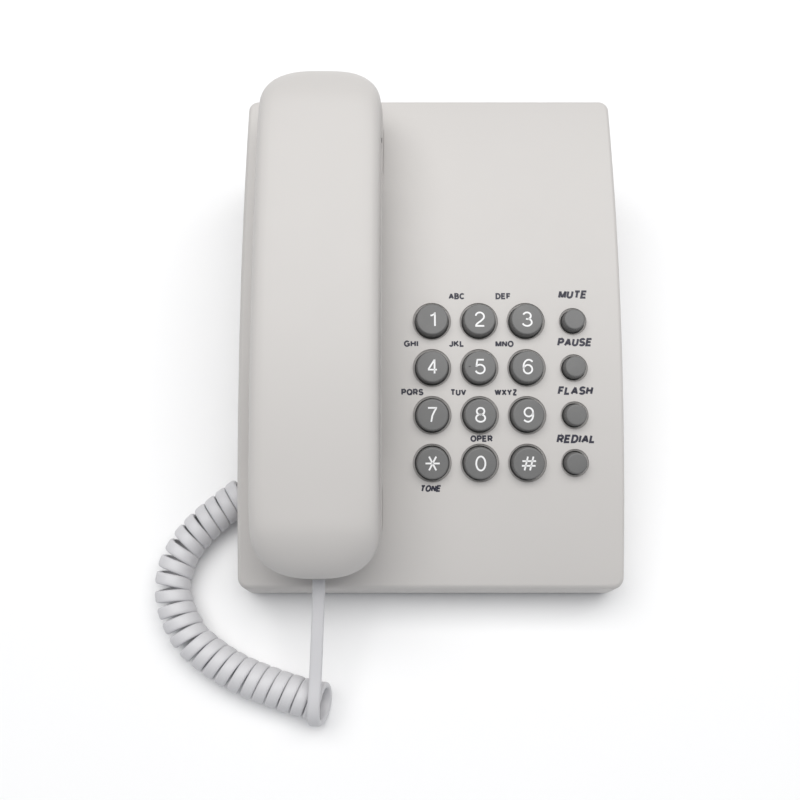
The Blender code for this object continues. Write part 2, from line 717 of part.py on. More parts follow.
def plug(name, frame):
    """Modular plug pushed into a socket along the frame's +Y, with the cord's end behind it."""
    half_x, half_z, depth = CORD_PLUG[0] / 2, CORD_PLUG[1] / 2, CORD_PLUG[2]
    body = box(name, (-half_x, 0.0, -half_z), (half_x, depth, half_z), frame, "clear_plastic")
    back = box(name + "_back", (-half_x + 0.0006, -CORD_PLUG_TAIL, -half_z + 0.0009),
               (half_x - 0.0006, 0.001, half_z - 0.0004), frame)
    return join(body, back)


def plug_socket():
    """Opening of the socket that takes a cord's plug."""
    return (CORD_PLUG[0] + 2 * PLUG_CLEARANCE, CORD_PLUG[1] + 2 * PLUG_CLEARANCE,
            CORD_PLUG[2] + PLUG_CLEARANCE)


BASE_JACK_FRAME = (Matrix.Translation((-BODY_WIDTH / 2 + WALL + GAP, *BASE_JACK_PLACE))
                   @ Matrix.Rotation(-math.pi / 2, 4, "Z"))
LINE_JACK_FRAME = (Matrix.Translation((LINE_JACK_PLACE[0], BODY_DEPTH / 2 - WALL - GAP, LINE_JACK_PLACE[1]))
                   @ Matrix.Rotation(math.pi, 4, "Z"))
HANDSET_JACK_FRAME = MOUTH_FRAME @ Matrix.Translation((0, -MOUTH_LENGTH / 2 + SHELL_WALL + GAP,
                                                       HANDSET_JACK_HEIGHT))


def cut_socket_holes(cover):
    """Holes in the walls, as large as the sockets behind them are open."""
    for name, opening, frame in (("base_jack_hole", plug_socket(), BASE_JACK_FRAME),
                                 ("line_jack_hole", LINE_SOCKET, LINE_JACK_FRAME)):
        half_x, half_z = opening[0] / 2, opening[1] / 2
        cut(cover, box(name, (-half_x, -0.010, -half_z), (half_x, 0.002, half_z), frame))


def base_sockets():
    """The line's socket in the rear wall and the handset cord's in the left wall."""
    socket("line_jack", LINE_SOCKET, LINE_JACK_FRAME)
    socket("base_cord_jack", plug_socket(), BASE_JACK_FRAME)
    inward = Matrix.Translation((0, -WALL, 0))
    plug("base_cord_plug", BASE_JACK_FRAME @ inward)


RINGER_SWITCH_FRAME = (Matrix.Translation((BODY_WIDTH / 2, *RINGER_SWITCH_PLACE))
                       @ Matrix.Rotation(math.pi / 2, 4, "Z"))
MODE_SWITCH_FRAME = (Matrix.Translation((MODE_SWITCH_PLACE[0], BODY_DEPTH / 2, MODE_SWITCH_PLACE[1]))
                     @ Matrix.Rotation(math.pi, 4, "Z"))


def slide_switches():
    """Name, frame on the wall's outer side, and ends of the knob's travel of each switch."""
    return [("ringer_switch", RINGER_SWITCH_FRAME, -SWITCH_TRAVEL, SWITCH_TRAVEL),
            ("mode_switch", MODE_SWITCH_FRAME, -SWITCH_TRAVEL, 0.0)]


def cut_switch_slots(cover):
    """A shallow recess in the wall for each slide switch, with the knob's slot in it."""
    half_x, half_z = KNOB_SIZE[0] / 2, KNOB_SIZE[1] / 2
    for name, frame, low, high in slide_switches():
        x0, x1 = low - half_x, high + half_x
        margin = RECESS_MARGIN
        cut(cover, box(name + "_recess", (x0 - margin, -0.004, -half_z - margin),
                       (x1 + margin, SWITCH_RECESS, half_z + margin), frame))
        cut(cover, box(name + "_slot", (x0 - GAP, -0.004, -half_z - GAP),
                       (x1 + GAP, WALL + 0.001, half_z + GAP), frame))


def switches():
    """Fixed body and sliding knob of each slide switch."""
    half_x, half_z = KNOB_SIZE[0] / 2, KNOB_SIZE[1] / 2
    body_front = WALL + 0.0009
    for name, frame, low, high in slide_switches():
        box(name + "_body", (low - half_x - RECESS_MARGIN, body_front, -half_z - RECESS_MARGIN),
            (high + half_x + RECESS_MARGIN, body_front + SWITCH_BODY_DEPTH, half_z + RECESS_MARGIN), frame,
            "dark_plastic")
        box(name + "_knob", (-half_x, GAP, -half_z), (half_x, body_front - GAP, half_z), frame, "key_plastic")


# ---------------------------------------------------------------------------------------------
# Handset
# ---------------------------------------------------------------------------------------------

def stations(front, rear, half_width, radius):
    """(along, half width) pairs round one side of a plan outline with round ends."""
    steps = 5
    bow = 0.0012
    end_half = half_width - radius
    found = [(front, end_half * 0.55)]
    for step in range(steps + 1):
        angle = math.pi / 2 * step / steps
        found.append((front + bow + radius * (1 - math.cos(angle)), end_half + radius * math.sin(angle)))
    straight = rear - front - 2 * (radius + bow)
    middle = [(front + bow + radius + straight * i / 7, half_width) for i in range(1, 7)]
    tail = [(front + rear - along, half) for along, half in reversed(found)]
    return found + middle + tail


def station_loft(name, levels, look=None):
    """Solid that bends with the face, through plan outlines at rising heights."""
    form = bmesh.new()
    rings = []
    for height, outline in levels:
        right = [form.verts.new(face_point(HANDSET_X + half, along, height)) for along, half in outline]
        left = [form.verts.new(face_point(HANDSET_X - half, along, height)) for along, half in outline]
        rings.append((right, left))
    count = len(levels[0][1])
    for (right0, left0), (right1, left1) in zip(rings, rings[1:]):
        for i in range(count - 1):
            form.faces.new((right0[i], right0[i + 1], right1[i + 1], right1[i]))
            form.faces.new((left0[i + 1], left0[i], left1[i], left1[i + 1]))
        form.faces.new((left0[0], right0[0], right1[0], left1[0]))
        form.faces.new((right0[-1], left0[-1], left1[-1], right1[-1]))
    for i in range(count - 1):
        right, left = rings[0]
        form.faces.new((right[i], left[i], left[i + 1], right[i + 1]))
        right, left = rings[-1]
        form.faces.new((left[i], right[i], right[i + 1], left[i + 1]))
    return from_bmesh(name, form, PLAIN, look)


def back_levels(inset, low):
    """Plan outlines of the handset's back, from the parting line up to its crown."""
    half = HANDSET_WIDTH / 2
    rise = HANDSET_TOP - PARTING_HEIGHT
    # share of the rise, share of the end slope, and how far the sides lean in
    steps = [(0.0, 0.0, 0.0), (0.30, 0.13, 0.0003), (0.58, 0.32, 0.0008), (0.82, 0.60, 0.0022),
             (0.95, 0.85, 0.0045), (1.0, 1.10, 0.0085)]
    levels = []
    for up, along, lean in steps:
        height = low if up == 0 else PARTING_HEIGHT + rise * up - inset * up
        slope = END_SLOPE * along + inset
        outline = stations(HANDSET_FRONT + slope, HANDSET_REAR - slope, half - lean - inset,
                           END_RADIUS - lean - inset)
        levels.append((height, outline))
    return levels


def handset_back_shell():
    """The side of the handset that faces up at rest."""
    shell = station_loft("handset_back_shell", back_levels(0.0, PARTING_HEIGHT), "body_plastic")
    cavity = station_loft("handset_back_cavity", back_levels(SHELL_WALL, PARTING_HEIGHT - 0.002))
    boss_low = GRIP_UNDERSIDE + SHELL_WALL + GAP
    cut(cavity, rods("handset_bosses", HANDSET_BOSS_RADIUS, PARTING_HEIGHT, HANDSET_TOP + 0.004,
                     handset_screw_frames(), sides=12))
    cut(shell, cavity)
    join(shell, rods("handset_boss_ends", HANDSET_BOSS_RADIUS, boss_low, PARTING_HEIGHT + 0.002,
                     handset_screw_frames(), sides=12))
    return cut(shell, rods("handset_pilots", SCREW_RADIUS + GAP, 0.0, HANDSET_TOP - 0.0055,
                           handset_screw_frames(), sides=12))


def handset_screw_frames():
    """Frames over the face of the two screws that hold the handset's shells together."""
    front = MOUTH_ALONG + MOUTH_LENGTH / 2 + HANDSET_SCREW_INSET
    rear = EAR_ALONG - EAR_LENGTH / 2 - HANDSET_SCREW_INSET
    return [face_frame(HANDSET_X, front), face_frame(HANDSET_X, rear)]


def cap_outline(length, inset, spread, toward):
    """Outline of one end of the handset; `spread` lengthens it toward the grip."""
    half = CAP_WIDTH / 2 - inset
    front, rear = -length / 2 + inset, length / 2 - inset
    if toward > 0:
        rear += spread
    else:
        front -= spread
    return rounded_rectangle(-half, half, front, rear, CAP_RADIUS - inset)


def cap_form(name, frame, length, inset, toward):
    """Form of one end of the handset, which drops into its well."""
    low = -CAP_DEPTH + inset
    high = CAP_TOP if inset == 0 else PARTING_HEIGHT + 0.003
    return tapered(name, cap_outline(length, inset, 0.0, toward), cap_outline(length, inset, CAP_SPREAD, toward),
                   low, high, frame)


def grip_levels(inset, high):
    """Plan outlines of the handset's front, from the grip's underside up to the parting line."""
    half = HANDSET_WIDTH / 2
    steps = [(0.0, 0.0034), (0.45, 0.0008), (1.0, 0.0)]
    low = GRIP_UNDERSIDE + inset
    levels = []
    for up, lean in steps:
        height = high if up == 1.0 else low + (PARTING_HEIGHT - GAP - low) * up
        outline = stations(HANDSET_FRONT + lean + inset, HANDSET_REAR - lean - inset, half - lean - inset,
                           END_RADIUS - lean - inset)
        levels.append((height, outline))
    return levels


def handset_front_shell():
    """The side of the handset that is held to the head, with its ear and mouth ends."""
    shell = station_loft("handset_front_shell", grip_levels(0.0, PARTING_HEIGHT - GAP), "body_plastic")
    join(shell, cap_form("ear_cap", EAR_FRAME, EAR_LENGTH, 0.0, -1))
    join(shell, cap_form("mouth_cap", MOUTH_FRAME, MOUTH_LENGTH, 0.0, 1))
    cut(shell, station_loft("grip_cavity", grip_levels(SHELL_WALL, PARTING_HEIGHT + 0.002)))
    cut(shell, cap_form("ear_cavity", EAR_FRAME, EAR_LENGTH, SHELL_WALL, -1))
    cut(shell, cap_form("mouth_cavity", MOUTH_FRAME, MOUTH_LENGTH, SHELL_WALL, 1))
    screws = handset_screw_frames()
    cut(shell, rods("handset_head_seats", SCREW_HEAD_RADIUS - GAP, 0.0,
                    GRIP_UNDERSIDE + HANDSET_HEAD_SEAT, screws, sides=16))
    cut(shell, rods("handset_bores", SCREW_RADIUS + GAP, 0.0, GRIP_UNDERSIDE + 0.006, screws, sides=12))
    half_x, half_z = plug_socket()[0] / 2, plug_socket()[1] / 2
    cut(shell, box("handset_jack_hole", (-half_x, -0.008, -half_z), (half_x, 0.001, half_z), HANDSET_JACK_FRAME))
    holes = [EAR_FRAME]
    for i in range(6):
        turn = Matrix.Rotation(math.radians(60 * i), 4, "Z")
        holes.append(EAR_FRAME @ turn @ Matrix.Translation((SOUND_HOLE_SPREAD, 0, 0)))
    cut(shell, rods("ear_holes", SOUND_HOLE_RADIUS, -0.010, -0.001, holes, sides=8))
    mouth_hole = MOUTH_FRAME @ Matrix.Translation((0, MIC_ALONG, 0))
    return cut(shell, rods("mouth_hole", SOUND_HOLE_RADIUS, -0.010, -0.001, [mouth_hole], sides=8))


def handset_inside():
    """Receiver, microphone, weight, socket, plug and screws of the handset."""
    floor = -CAP_DEPTH + SHELL_WALL + GAP
    receiver = [(0, floor + 0.0080), (RECEIVER_MAGNET_RADIUS, floor + 0.0080),
                (RECEIVER_MAGNET_RADIUS, floor + 0.0055),
                (RECEIVER_RADIUS, floor + 0.0040), (RECEIVER_RADIUS, floor), (0, floor)]
    turned("receiver", receiver, EAR_FRAME, "steel")
    rod("microphone", MIC_RADIUS, floor, floor + 0.0045, MOUTH_FRAME @ Matrix.Translation((0, MIC_ALONG, 0)),
        "steel", sides=16)
    middle = face_frame(HANDSET_X, (EAR_ALONG + MOUTH_ALONG) / 2)
    low = GRIP_UNDERSIDE + SHELL_WALL + 0.0010
    width, length, thickness = WEIGHT_SIZE
    box("handset_weight", (-width / 2, -length / 2, low), (width / 2, length / 2, low + thickness), middle,
        "steel")
    socket("handset_jack", plug_socket(), HANDSET_JACK_FRAME)
    outward = Matrix.Translation((0, -SHELL_WALL, 0))
    plug("handset_cord_plug", HANDSET_JACK_FRAME @ outward)
    for side, frame in zip(("front", "rear"), handset_screw_frames()):
        seat = frame @ Matrix.Translation((0, 0, GRIP_UNDERSIDE + 0.0001))
        screw("handset_screw_" + side, seat, HANDSET_SCREW_LENGTH, SCREW_HEAD_RADIUS - 2 * GAP,
              HANDSET_HEAD_SEAT - GAP - 0.0001, SCREW_RADIUS)


# ---------------------------------------------------------------------------------------------
# Cord
# ---------------------------------------------------------------------------------------------

def cord():
    """The curled run on the table, its short tail from the base's plug, and the handset's lead."""
    run = [(x - BODY_WIDTH / 2, y - BODY_DEPTH / 2, COIL_RADIUS) for x, y in COIL_ROUTE]
    rise = [(x + HANDSET_X, y - BODY_DEPTH / 2, z) for x, y, z in LEAD_ROUTE]
    tube("handset_cord_coil", smooth_route(run, 0.008), COIL_RADIUS, "cord_plastic")
    start = BASE_JACK_FRAME @ Vector((0, -WALL - CORD_PLUG_TAIL - GAP, 0))
    end = Vector((run[0][0] + GAP, start.y, start.z))
    tube("handset_cord_tail", [start, start.lerp(end, 0.5), end], LEAD_RADIUS, "cord_plastic")
    mouth = HANDSET_JACK_FRAME @ Vector((0, -SHELL_WALL - CORD_PLUG_TAIL - GAP, 0))
    tube("handset_cord_lead", smooth_route([mouth, *rise], 0.008), LEAD_RADIUS, "cord_plastic")


# ---------------------------------------------------------------------------------------------
# The whole telephone
# ---------------------------------------------------------------------------------------------

def group_handset():
    """Parents the handset's pieces to an empty at the middle of the handset."""
    handle = bpy.data.objects.new("handset", None)
    PARTS.objects.link(handle)
    where = face_frame(HANDSET_X, (EAR_ALONG + MOUTH_ALONG) / 2, PARTING_HEIGHT)
    handle.matrix_world = where
    names = ["handset_back_shell", "handset_front_shell", "receiver", "microphone", "handset_weight",
             "handset_jack", "handset_cord_plug", "handset_screw_front", "handset_screw_rear"]
    for name in names:
        piece = bpy.data.objects[name]
        placed = piece.matrix_basis.copy()
        piece.parent = handle
        piece.matrix_parent_inverse = where.inverted()
        piece.matrix_basis = placed


def main():
    upper_cover()
    lower_cover()
    feet()
    cover_screws()
    base_inside()
    for name, frame, radius in key_places():
        key(name, frame, radius)
    keypad_mat()
    main_board()
    hook_switch()
    base_sockets()
    switches()
    handset_back_shell()
    handset_front_shell()
    handset_inside()
    cord()
    group_handset()


main()
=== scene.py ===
"""Corded desk telephone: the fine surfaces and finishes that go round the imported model.

Metres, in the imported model's frame: +X right, +Y rear, +Z up, the origin on the table under the
middle of the body.  The face of the body is an arc that rises to the rear, so most pieces are
placed by their distance `along` that arc from its front edge and their height over it.
"""

import json
import math

import bmesh
import bpy
from mathutils import Matrix, Vector


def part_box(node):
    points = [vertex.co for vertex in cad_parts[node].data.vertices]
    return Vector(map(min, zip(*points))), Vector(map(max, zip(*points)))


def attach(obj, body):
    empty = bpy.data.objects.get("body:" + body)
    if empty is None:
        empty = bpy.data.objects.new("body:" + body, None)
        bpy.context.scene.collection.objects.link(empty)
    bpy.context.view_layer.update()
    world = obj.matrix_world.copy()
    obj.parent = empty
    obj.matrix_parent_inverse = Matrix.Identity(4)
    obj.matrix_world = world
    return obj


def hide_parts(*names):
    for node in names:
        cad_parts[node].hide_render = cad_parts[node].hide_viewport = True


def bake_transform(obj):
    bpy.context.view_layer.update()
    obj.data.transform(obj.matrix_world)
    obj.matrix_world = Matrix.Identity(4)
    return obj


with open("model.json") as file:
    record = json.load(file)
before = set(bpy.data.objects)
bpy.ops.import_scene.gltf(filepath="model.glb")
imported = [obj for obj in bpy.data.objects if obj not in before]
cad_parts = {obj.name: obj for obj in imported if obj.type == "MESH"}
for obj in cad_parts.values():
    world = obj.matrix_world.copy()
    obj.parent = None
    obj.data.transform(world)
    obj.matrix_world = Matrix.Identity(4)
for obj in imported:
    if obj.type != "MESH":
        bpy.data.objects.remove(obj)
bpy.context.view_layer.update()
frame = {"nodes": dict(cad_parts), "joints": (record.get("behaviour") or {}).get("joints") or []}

# Body
BODY_LOW, BODY_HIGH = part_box("upper_cover")
BODY_WIDTH = BODY_HIGH.x - BODY_LOW.x
BODY_DEPTH = BODY_HIGH.y - BODY_LOW.y
RIM_HEIGHT = BODY_LOW.z
FRONT_HEIGHT = 0.022
REAR_HEIGHT = 0.062
FACE_RADIUS = 0.523
WALL = 0.0025
CORNER_RADIUS = 0.0042
EDGE_ROUND = 0.0018
TRAY_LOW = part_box("lower_cover")[0].z
TRAY_STEP = 0.0008
TRAY_LIP = 0.003
GAP = 0.0003
HOLE_CORNER = 0.0003

# Keys
KEY_RADIUS = 0.0065
SMALL_KEY_RADIUS = 0.0044
KEY_HEIGHT = 0.0040
KEY_TAPER = 0.00022
KEY_EDGE = 0.0007
KEY_BORE_GAP = 0.0004
# Recess round a key, as (outward from the bore, height over the face)
KEY_RECESS = [(0.0, -0.00105), (0.00060, -0.00060), (0.00066, -0.00016), (0.00071, -0.00005), (0.00080, 0.0),
              (0.00084, 0.00012), (0.00084, 0.0030)]
KEY_FLANGE = 0.0009
KEY_FLANGE_THICKNESS = 0.0012
KEY_STEM_RADIUS = 0.0030
KEY_BOTTOM = 0.0052

# Handset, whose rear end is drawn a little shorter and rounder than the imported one
HANDSET_LOW, HANDSET_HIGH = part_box("handset_back_shell")
HANDSET_X = (HANDSET_LOW.x + HANDSET_HIGH.x) / 2
HANDSET_WIDTH = HANDSET_HIGH.x - HANDSET_LOW.x
HANDSET_FRONT = 0.0090
HANDSET_REAR = 0.2030
HANDSET_TOP = 0.0330
PARTING_HEIGHT = 0.0190
PARTING_EDGE = 0.00022
PARTING_LIP = 0.00045
GRIP_UNDERSIDE = 0.0140
CAP_UNDERSIDE = -0.0050
SHELL_WALL = 0.0020
PLAN_END = 0.0198
PLAN_POWER = 2.45
CROWN_END = 0.0220
CROWN_END_POWER = 1.7
CROWN_POWER = 7.0
CROWN_POWER_AT_END = 2.9
CROWN_BLEND = 0.036
CAP_END = 0.0180
CAP_END_POWER = 3.5
CAP_POWER = 6.0
GRIP_POWER = 3.2
EAR_ALONG = 0.1800
MOUTH_ALONG = 0.0320
MOUTH_LENGTH = 0.0380
EAR_LENGTH = 0.0430
MIC_ALONG = 0.0080
DISH_RADIUS = 0.0135
DISH_DEPTH = 0.0009

# Wells of the cradle
CAP_WIDTH = 0.0440
CAP_RADIUS = 0.0130
WELL_CLEARANCE = 0.0016
WELL_DEPTH = 0.0060
WELL_RIM = 0.0010
WELL_FILLET = 0.0014

# Hook plunger
HOOK_ASIDE = 0.0130
HOOK_ALONG = -0.0120
HOOK_SIZE = (0.0080, 0.0044)
HOOK_TRAVEL = 0.0040

# Fasteners
SCREW_RADIUS = 0.0014
SCREW_HEAD_RADIUS = 0.0029
BOSS_RADIUS = 0.0036

# Sockets and switches
CORD_PLUG = (0.0076, 0.0060, 0.0110)
PLUG_CLEARANCE = 0.0004
PLUG_TAIL = 0.0030
SOCKET_WALL = 0.0015
LINE_SOCKET = (0.0100, 0.0074, 0.0120)
KNOB_SIZE = (0.0050, 0.0028)
SWITCH_TRAVEL = 0.0030
SWITCH_RECESS = 0.0014

# Cord: a flat lead wound into a curly run
LEAD_WIDTH = 0.0049
LEAD_THICKNESS = 0.0025
COIL_RADIUS = 0.0077
TURN_GAP = 0.00005
TURN_TILT = 0.75
FIRST_TURN = 0.4
COIL_ROUTE = [
    (-0.0885, -0.0665), (-0.0970, -0.0748), (-0.1033, -0.0845), (-0.1057, -0.0965), (-0.1032, -0.1070),
    (-0.0968, -0.1176), (-0.0880, -0.1250), (-0.0771, -0.1313), (-0.0670, -0.1353), (-0.0569, -0.1387),
    (-0.0480, -0.1412), (-0.0453, -0.1419),
]
LEAD_X = -0.0455
LEAD_FRONT = -0.1503
LEAD_ROUTE = [
    (LEAD_X, LEAD_FRONT, 0.0088), (LEAD_X, -0.1494, 0.0125), (LEAD_X, -0.1466, 0.0159),
    (-0.0453, -0.1420, 0.0178), (-0.0448, -0.1345, 0.0193), (-0.0444, -0.1250, 0.0221),
    (-0.0440, -0.1150, 0.0255), (-0.0436, -0.1050, 0.0290),
]

# Printed labels: key, text, place of its middle from the key's (across, up the face), and width
LETTER_GROUPS = [
    ("key_2", "ABC", (-0.0088, 0.0104), 0.0064), ("key_3", "DEF", (-0.0088, 0.0104), 0.0062),
    ("key_4", "GHI", (-0.0083, 0.0098), 0.0057), ("key_5", "JKL", (-0.0089, 0.0098), 0.0061),
    ("key_6", "MNO", (-0.0086, 0.0097), 0.0073), ("key_7", "PQRS", (-0.0078, 0.0092), 0.0088),
    ("key_8", "TUV", (-0.0084, 0.0091), 0.0063), ("key_9", "WXYZ", (-0.0083, 0.0091), 0.0090),
    ("key_0", "OPER", (0.0007, 0.0096), 0.0088),
]
FUNCTION_NAMES = [
    ("key_mute", "MUTE", (0.0004, 0.0111), 0.0120), ("key_pause", "PAUSE", (0.0007, 0.0104), 0.0143),
    ("key_flash", "FLASH", (0.0005, 0.0098), 0.0143), ("key_redial", "REDIAL", (0.0006, 0.0095), 0.0158),
    ("key_star", "TONE", (-0.0006, -0.0100), 0.0087),
]
LEGEND_STROKE = 0.00066
GROUP_TYPE = (0.0026, 0.00066)
FUNCTION_TYPE = (0.0034, 0.00086)
TONE_TYPE = (0.0027, 0.00068)
SLANT = 0.22

ROUND = 64
PLAIN = Matrix()


# ---------------------------------------------------------------------------------------------
# Where things are
# ---------------------------------------------------------------------------------------------

def face_arc():
    """Centre (y, z) of the face's arc and the face's tilt at the front edge."""
    rise = REAR_HEIGHT - FRONT_HEIGHT
    chord = math.hypot(BODY_DEPTH, rise)
    reach = math.sqrt(FACE_RADIUS**2 - (chord / 2) ** 2)
    centre_y = reach * rise / chord
    centre_z = (FRONT_HEIGHT + REAR_HEIGHT) / 2 - reach * BODY_DEPTH / chord
    return centre_y, centre_z, math.asin((centre_y + BODY_DEPTH / 2) / FACE_RADIUS)


ARC_Y, ARC_Z, FRONT_TILT = face_arc()
FACE_LENGTH = (FRONT_TILT + math.asin((BODY_DEPTH / 2 - ARC_Y) / FACE_RADIUS)) * FACE_RADIUS


def face_point(x, along, height=0.0):
    """Point over the face, `along` from its front edge and `height` above it."""
    tilt = FRONT_TILT - along / FACE_RADIUS
    radius = FACE_RADIUS + height
    return Vector((x, ARC_Y - radius * math.sin(tilt), ARC_Z + radius * math.cos(tilt)))


def face_frame(x, along, height=0.0):
    """Matrix at a point over the face: Z along the face's normal, Y up the face to the rear."""
    tilt = FRONT_TILT - along / FACE_RADIUS
    return Matrix.Translation(face_point(x, along, height)) @ Matrix.Rotation(tilt, 4, "X")


def middle_of(node):
    """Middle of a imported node's box."""
    low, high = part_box(node)
    return (low + high) / 2


EAR_FRAME = face_frame(HANDSET_X, EAR_ALONG)
MOUTH_FRAME = face_frame(HANDSET_X, MOUTH_ALONG)
HOOK_FRAME = EAR_FRAME @ Matrix.Translation((HOOK_ASIDE, HOOK_ALONG, 0))


JACK_MIDDLE = middle_of("base_cord_jack")
LINE_MIDDLE = middle_of("line_jack")
BASE_JACK_FRAME = (Matrix.Translation((BODY_LOW.x + WALL + GAP, JACK_MIDDLE.y, JACK_MIDDLE.z))
                   @ Matrix.Rotation(-math.pi / 2, 4, "Z"))
LINE_JACK_FRAME = (Matrix.Translation((LINE_MIDDLE.x, BODY_HIGH.y - WALL - GAP, LINE_MIDDLE.z))
                   @ Matrix.Rotation(math.pi, 4, "Z"))
HANDSET_JACK_FRAME = MOUTH_FRAME @ Matrix.Translation((0, -MOUTH_LENGTH / 2 + SHELL_WALL + GAP, 0.0080))


def key_places():
    """Body, face frame and cap radius of each key, from the axis that it is pressed along."""
    places = {}
    for joint in frame["joints"]:
        body = joint["child"]
        if body.startswith("key_"):
            tilt = math.atan2(-joint["axis"][1], joint["axis"][2])
            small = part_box(body)[1].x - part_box(body)[0].x < 2 * KEY_RADIUS
            along = (FRONT_TILT - tilt) * FACE_RADIUS
            radius = SMALL_KEY_RADIUS if small else KEY_RADIUS
            places[body] = (face_frame(middle_of(body).x, along), radius)
    return places


KEYS = key_places()


def key_along(body):
    """Distance of a key along the face."""
    matrix, _ = KEYS[body]
    return (FRONT_TILT - math.atan2(-matrix[1][2], matrix[2][2])) * FACE_RADIUS


def feet():
    """Names of the four feet's nodes, which also name the corners of the body."""
    return [f"{end}_{side}" for end in ("front", "rear") for side in ("left", "right")]


# ---------------------------------------------------------------------------------------------
# Camera and lights
# ---------------------------------------------------------------------------------------------

def add_camera():
    """The camera looks down on the face from over the front half of the body."""
    data = bpy.data.cameras.new("camera")
    data.lens = 38.3
    data.sensor_width = 36.0
    data.clip_start = 0.01
    camera = bpy.data.objects.new("camera", data)
    camera.location = (-0.0122, -0.1378, 0.3642)
    camera.rotation_euler = (math.radians(18.8), 0, 0)
    bpy.context.scene.collection.objects.link(camera)
    bpy.context.scene.camera = camera


def add_light(name, place, size, power, colour):
    """Soft rectangular light that faces the middle of the telephone."""
    data = bpy.data.lights.new(name, "AREA")
    data.shape = "RECTANGLE"
    data.size, data.size_y = size
    data.energy = power
    data.color = colour
    light = bpy.data.objects.new(name, data)
    light.location = place
    aim = Vector((-0.01, 0.0, 0.03)) - Vector(place)
    light.rotation_euler = aim.to_track_quat("-Z", "Y").to_euler()
    bpy.context.scene.collection.objects.link(light)


def add_studio():
    """Wide soft light from above and behind, a weak cool fill from the front, and a pale floor."""
    add_light("overhead", (0.0, 0.38, 1.60), (2.6, 1.2), 33.5, (1.0, 0.992, 0.98))
    add_light("front_fill", (0.10, -1.10, 0.80), (1.6, 0.8), 0.6, (0.90, 0.94, 1.0))
    world = bpy.data.worlds.new("studio")
    world.use_nodes = True
    world.node_tree.nodes["Background"].inputs["Color"].default_value = (0.92, 0.95, 1.0, 1.0)
    world.node_tree.nodes["Background"].inputs["Strength"].default_value = 0.29
    bpy.context.scene.world = world
    bpy.context.scene.view_settings.view_transform = "Standard"
    form = bmesh.new()
    bmesh.ops.create_grid(form, x_segments=1, y_segments=1, size=3.0)
    floor = from_bmesh("studio_floor", form)
    floor.data.materials.append(studio_floor_finish())


# ---------------------------------------------------------------------------------------------
# Finishes
# ---------------------------------------------------------------------------------------------

def node(tree, kind, **values):
    """Shader node with input values set by name."""
    made = tree.nodes.new(kind)
    for name, value in values.items():
        made.inputs[name.replace("_", " ")].default_value = value
    return made


def math_node(tree, operation, first, second):
    """Math node whose inputs are sockets or numbers."""
    made = tree.nodes.new("ShaderNodeMath")
    made.operation = operation
    for slot, value in zip(made.inputs, (first, second)):
        if isinstance(value, (int, float)):
            slot.default_value = value
        else:
            tree.links.new(value, slot)
    return made.outputs[0]


def mixed_colour(tree, factor, first, second, blend="MIX"):
    """Colour mix; the factor and both colours are sockets or values."""
    mix = tree.nodes.new("ShaderNodeMix")
    mix.data_type = "RGBA"
    mix.blend_type = blend
    for slot, value in zip((mix.inputs[0], mix.inputs[6], mix.inputs[7]), (factor, first, second)):
        if isinstance(value, (int, float, tuple)):
            slot.default_value = value
        else:
            tree.links.new(value, slot)
    return mix.outputs[2]


def new_group(name, inputs, outputs):
    """Empty shader node group with float inputs and the named outputs."""
    tree = bpy.data.node_groups.new(name, "ShaderNodeTree")
    for label, value in inputs:
        socket = tree.interface.new_socket(label, in_out="INPUT", socket_type="NodeSocketFloat")
        socket.default_value = value
    for label in outputs:
        tree.interface.new_socket(label, in_out="OUTPUT", socket_type="NodeSocketFloat")
    return tree, tree.nodes.new("NodeGroupInput"), tree.nodes.new("NodeGroupOutput")


def moulded_grain_group():
    """Fine spark-eroded grain of a moulding, with the slow waviness that its large faces have.

    Grain is the number of grains a metre.  Height is the grain's height, Tone runs round 0.5 and
    shifts the colour a little over the moulding, and Gloss is where the grain is worn smoother.
    """
    tree, source, sink = new_group(
        "moulded_grain", [("Grain", 3000.0), ("Waviness", 0.3)], ["Height", "Tone", "Gloss"])
    where = tree.nodes.new("ShaderNodeTexCoord").outputs["Object"]
    grain = node(tree, "ShaderNodeTexNoise", Detail=3.0, Roughness=0.6)
    tree.links.new(where, grain.inputs["Vector"])
    tree.links.new(source.outputs["Grain"], grain.inputs["Scale"])
    wave = node(tree, "ShaderNodeTexNoise", Scale=38.0, Detail=1.0)
    tree.links.new(where, wave.inputs["Vector"])
    height = math_node(tree, "MULTIPLY", wave.outputs["Fac"], source.outputs["Waviness"])
    tree.links.new(math_node(tree, "ADD", grain.outputs["Fac"], height), sink.inputs["Height"])
    tone = node(tree, "ShaderNodeTexNoise", Scale=16.0, Detail=4.0, Roughness=0.55)
    tree.links.new(where, tone.inputs["Vector"])
    tree.links.new(tone.outputs["Fac"], sink.inputs["Tone"])
    marks = node(tree, "ShaderNodeTexNoise", Scale=60.0, Detail=5.0, Roughness=0.65, Distortion=0.6)
    tree.links.new(where, marks.inputs["Vector"])
    tree.links.new(marks.outputs["Fac"], sink.inputs["Gloss"])
    return tree


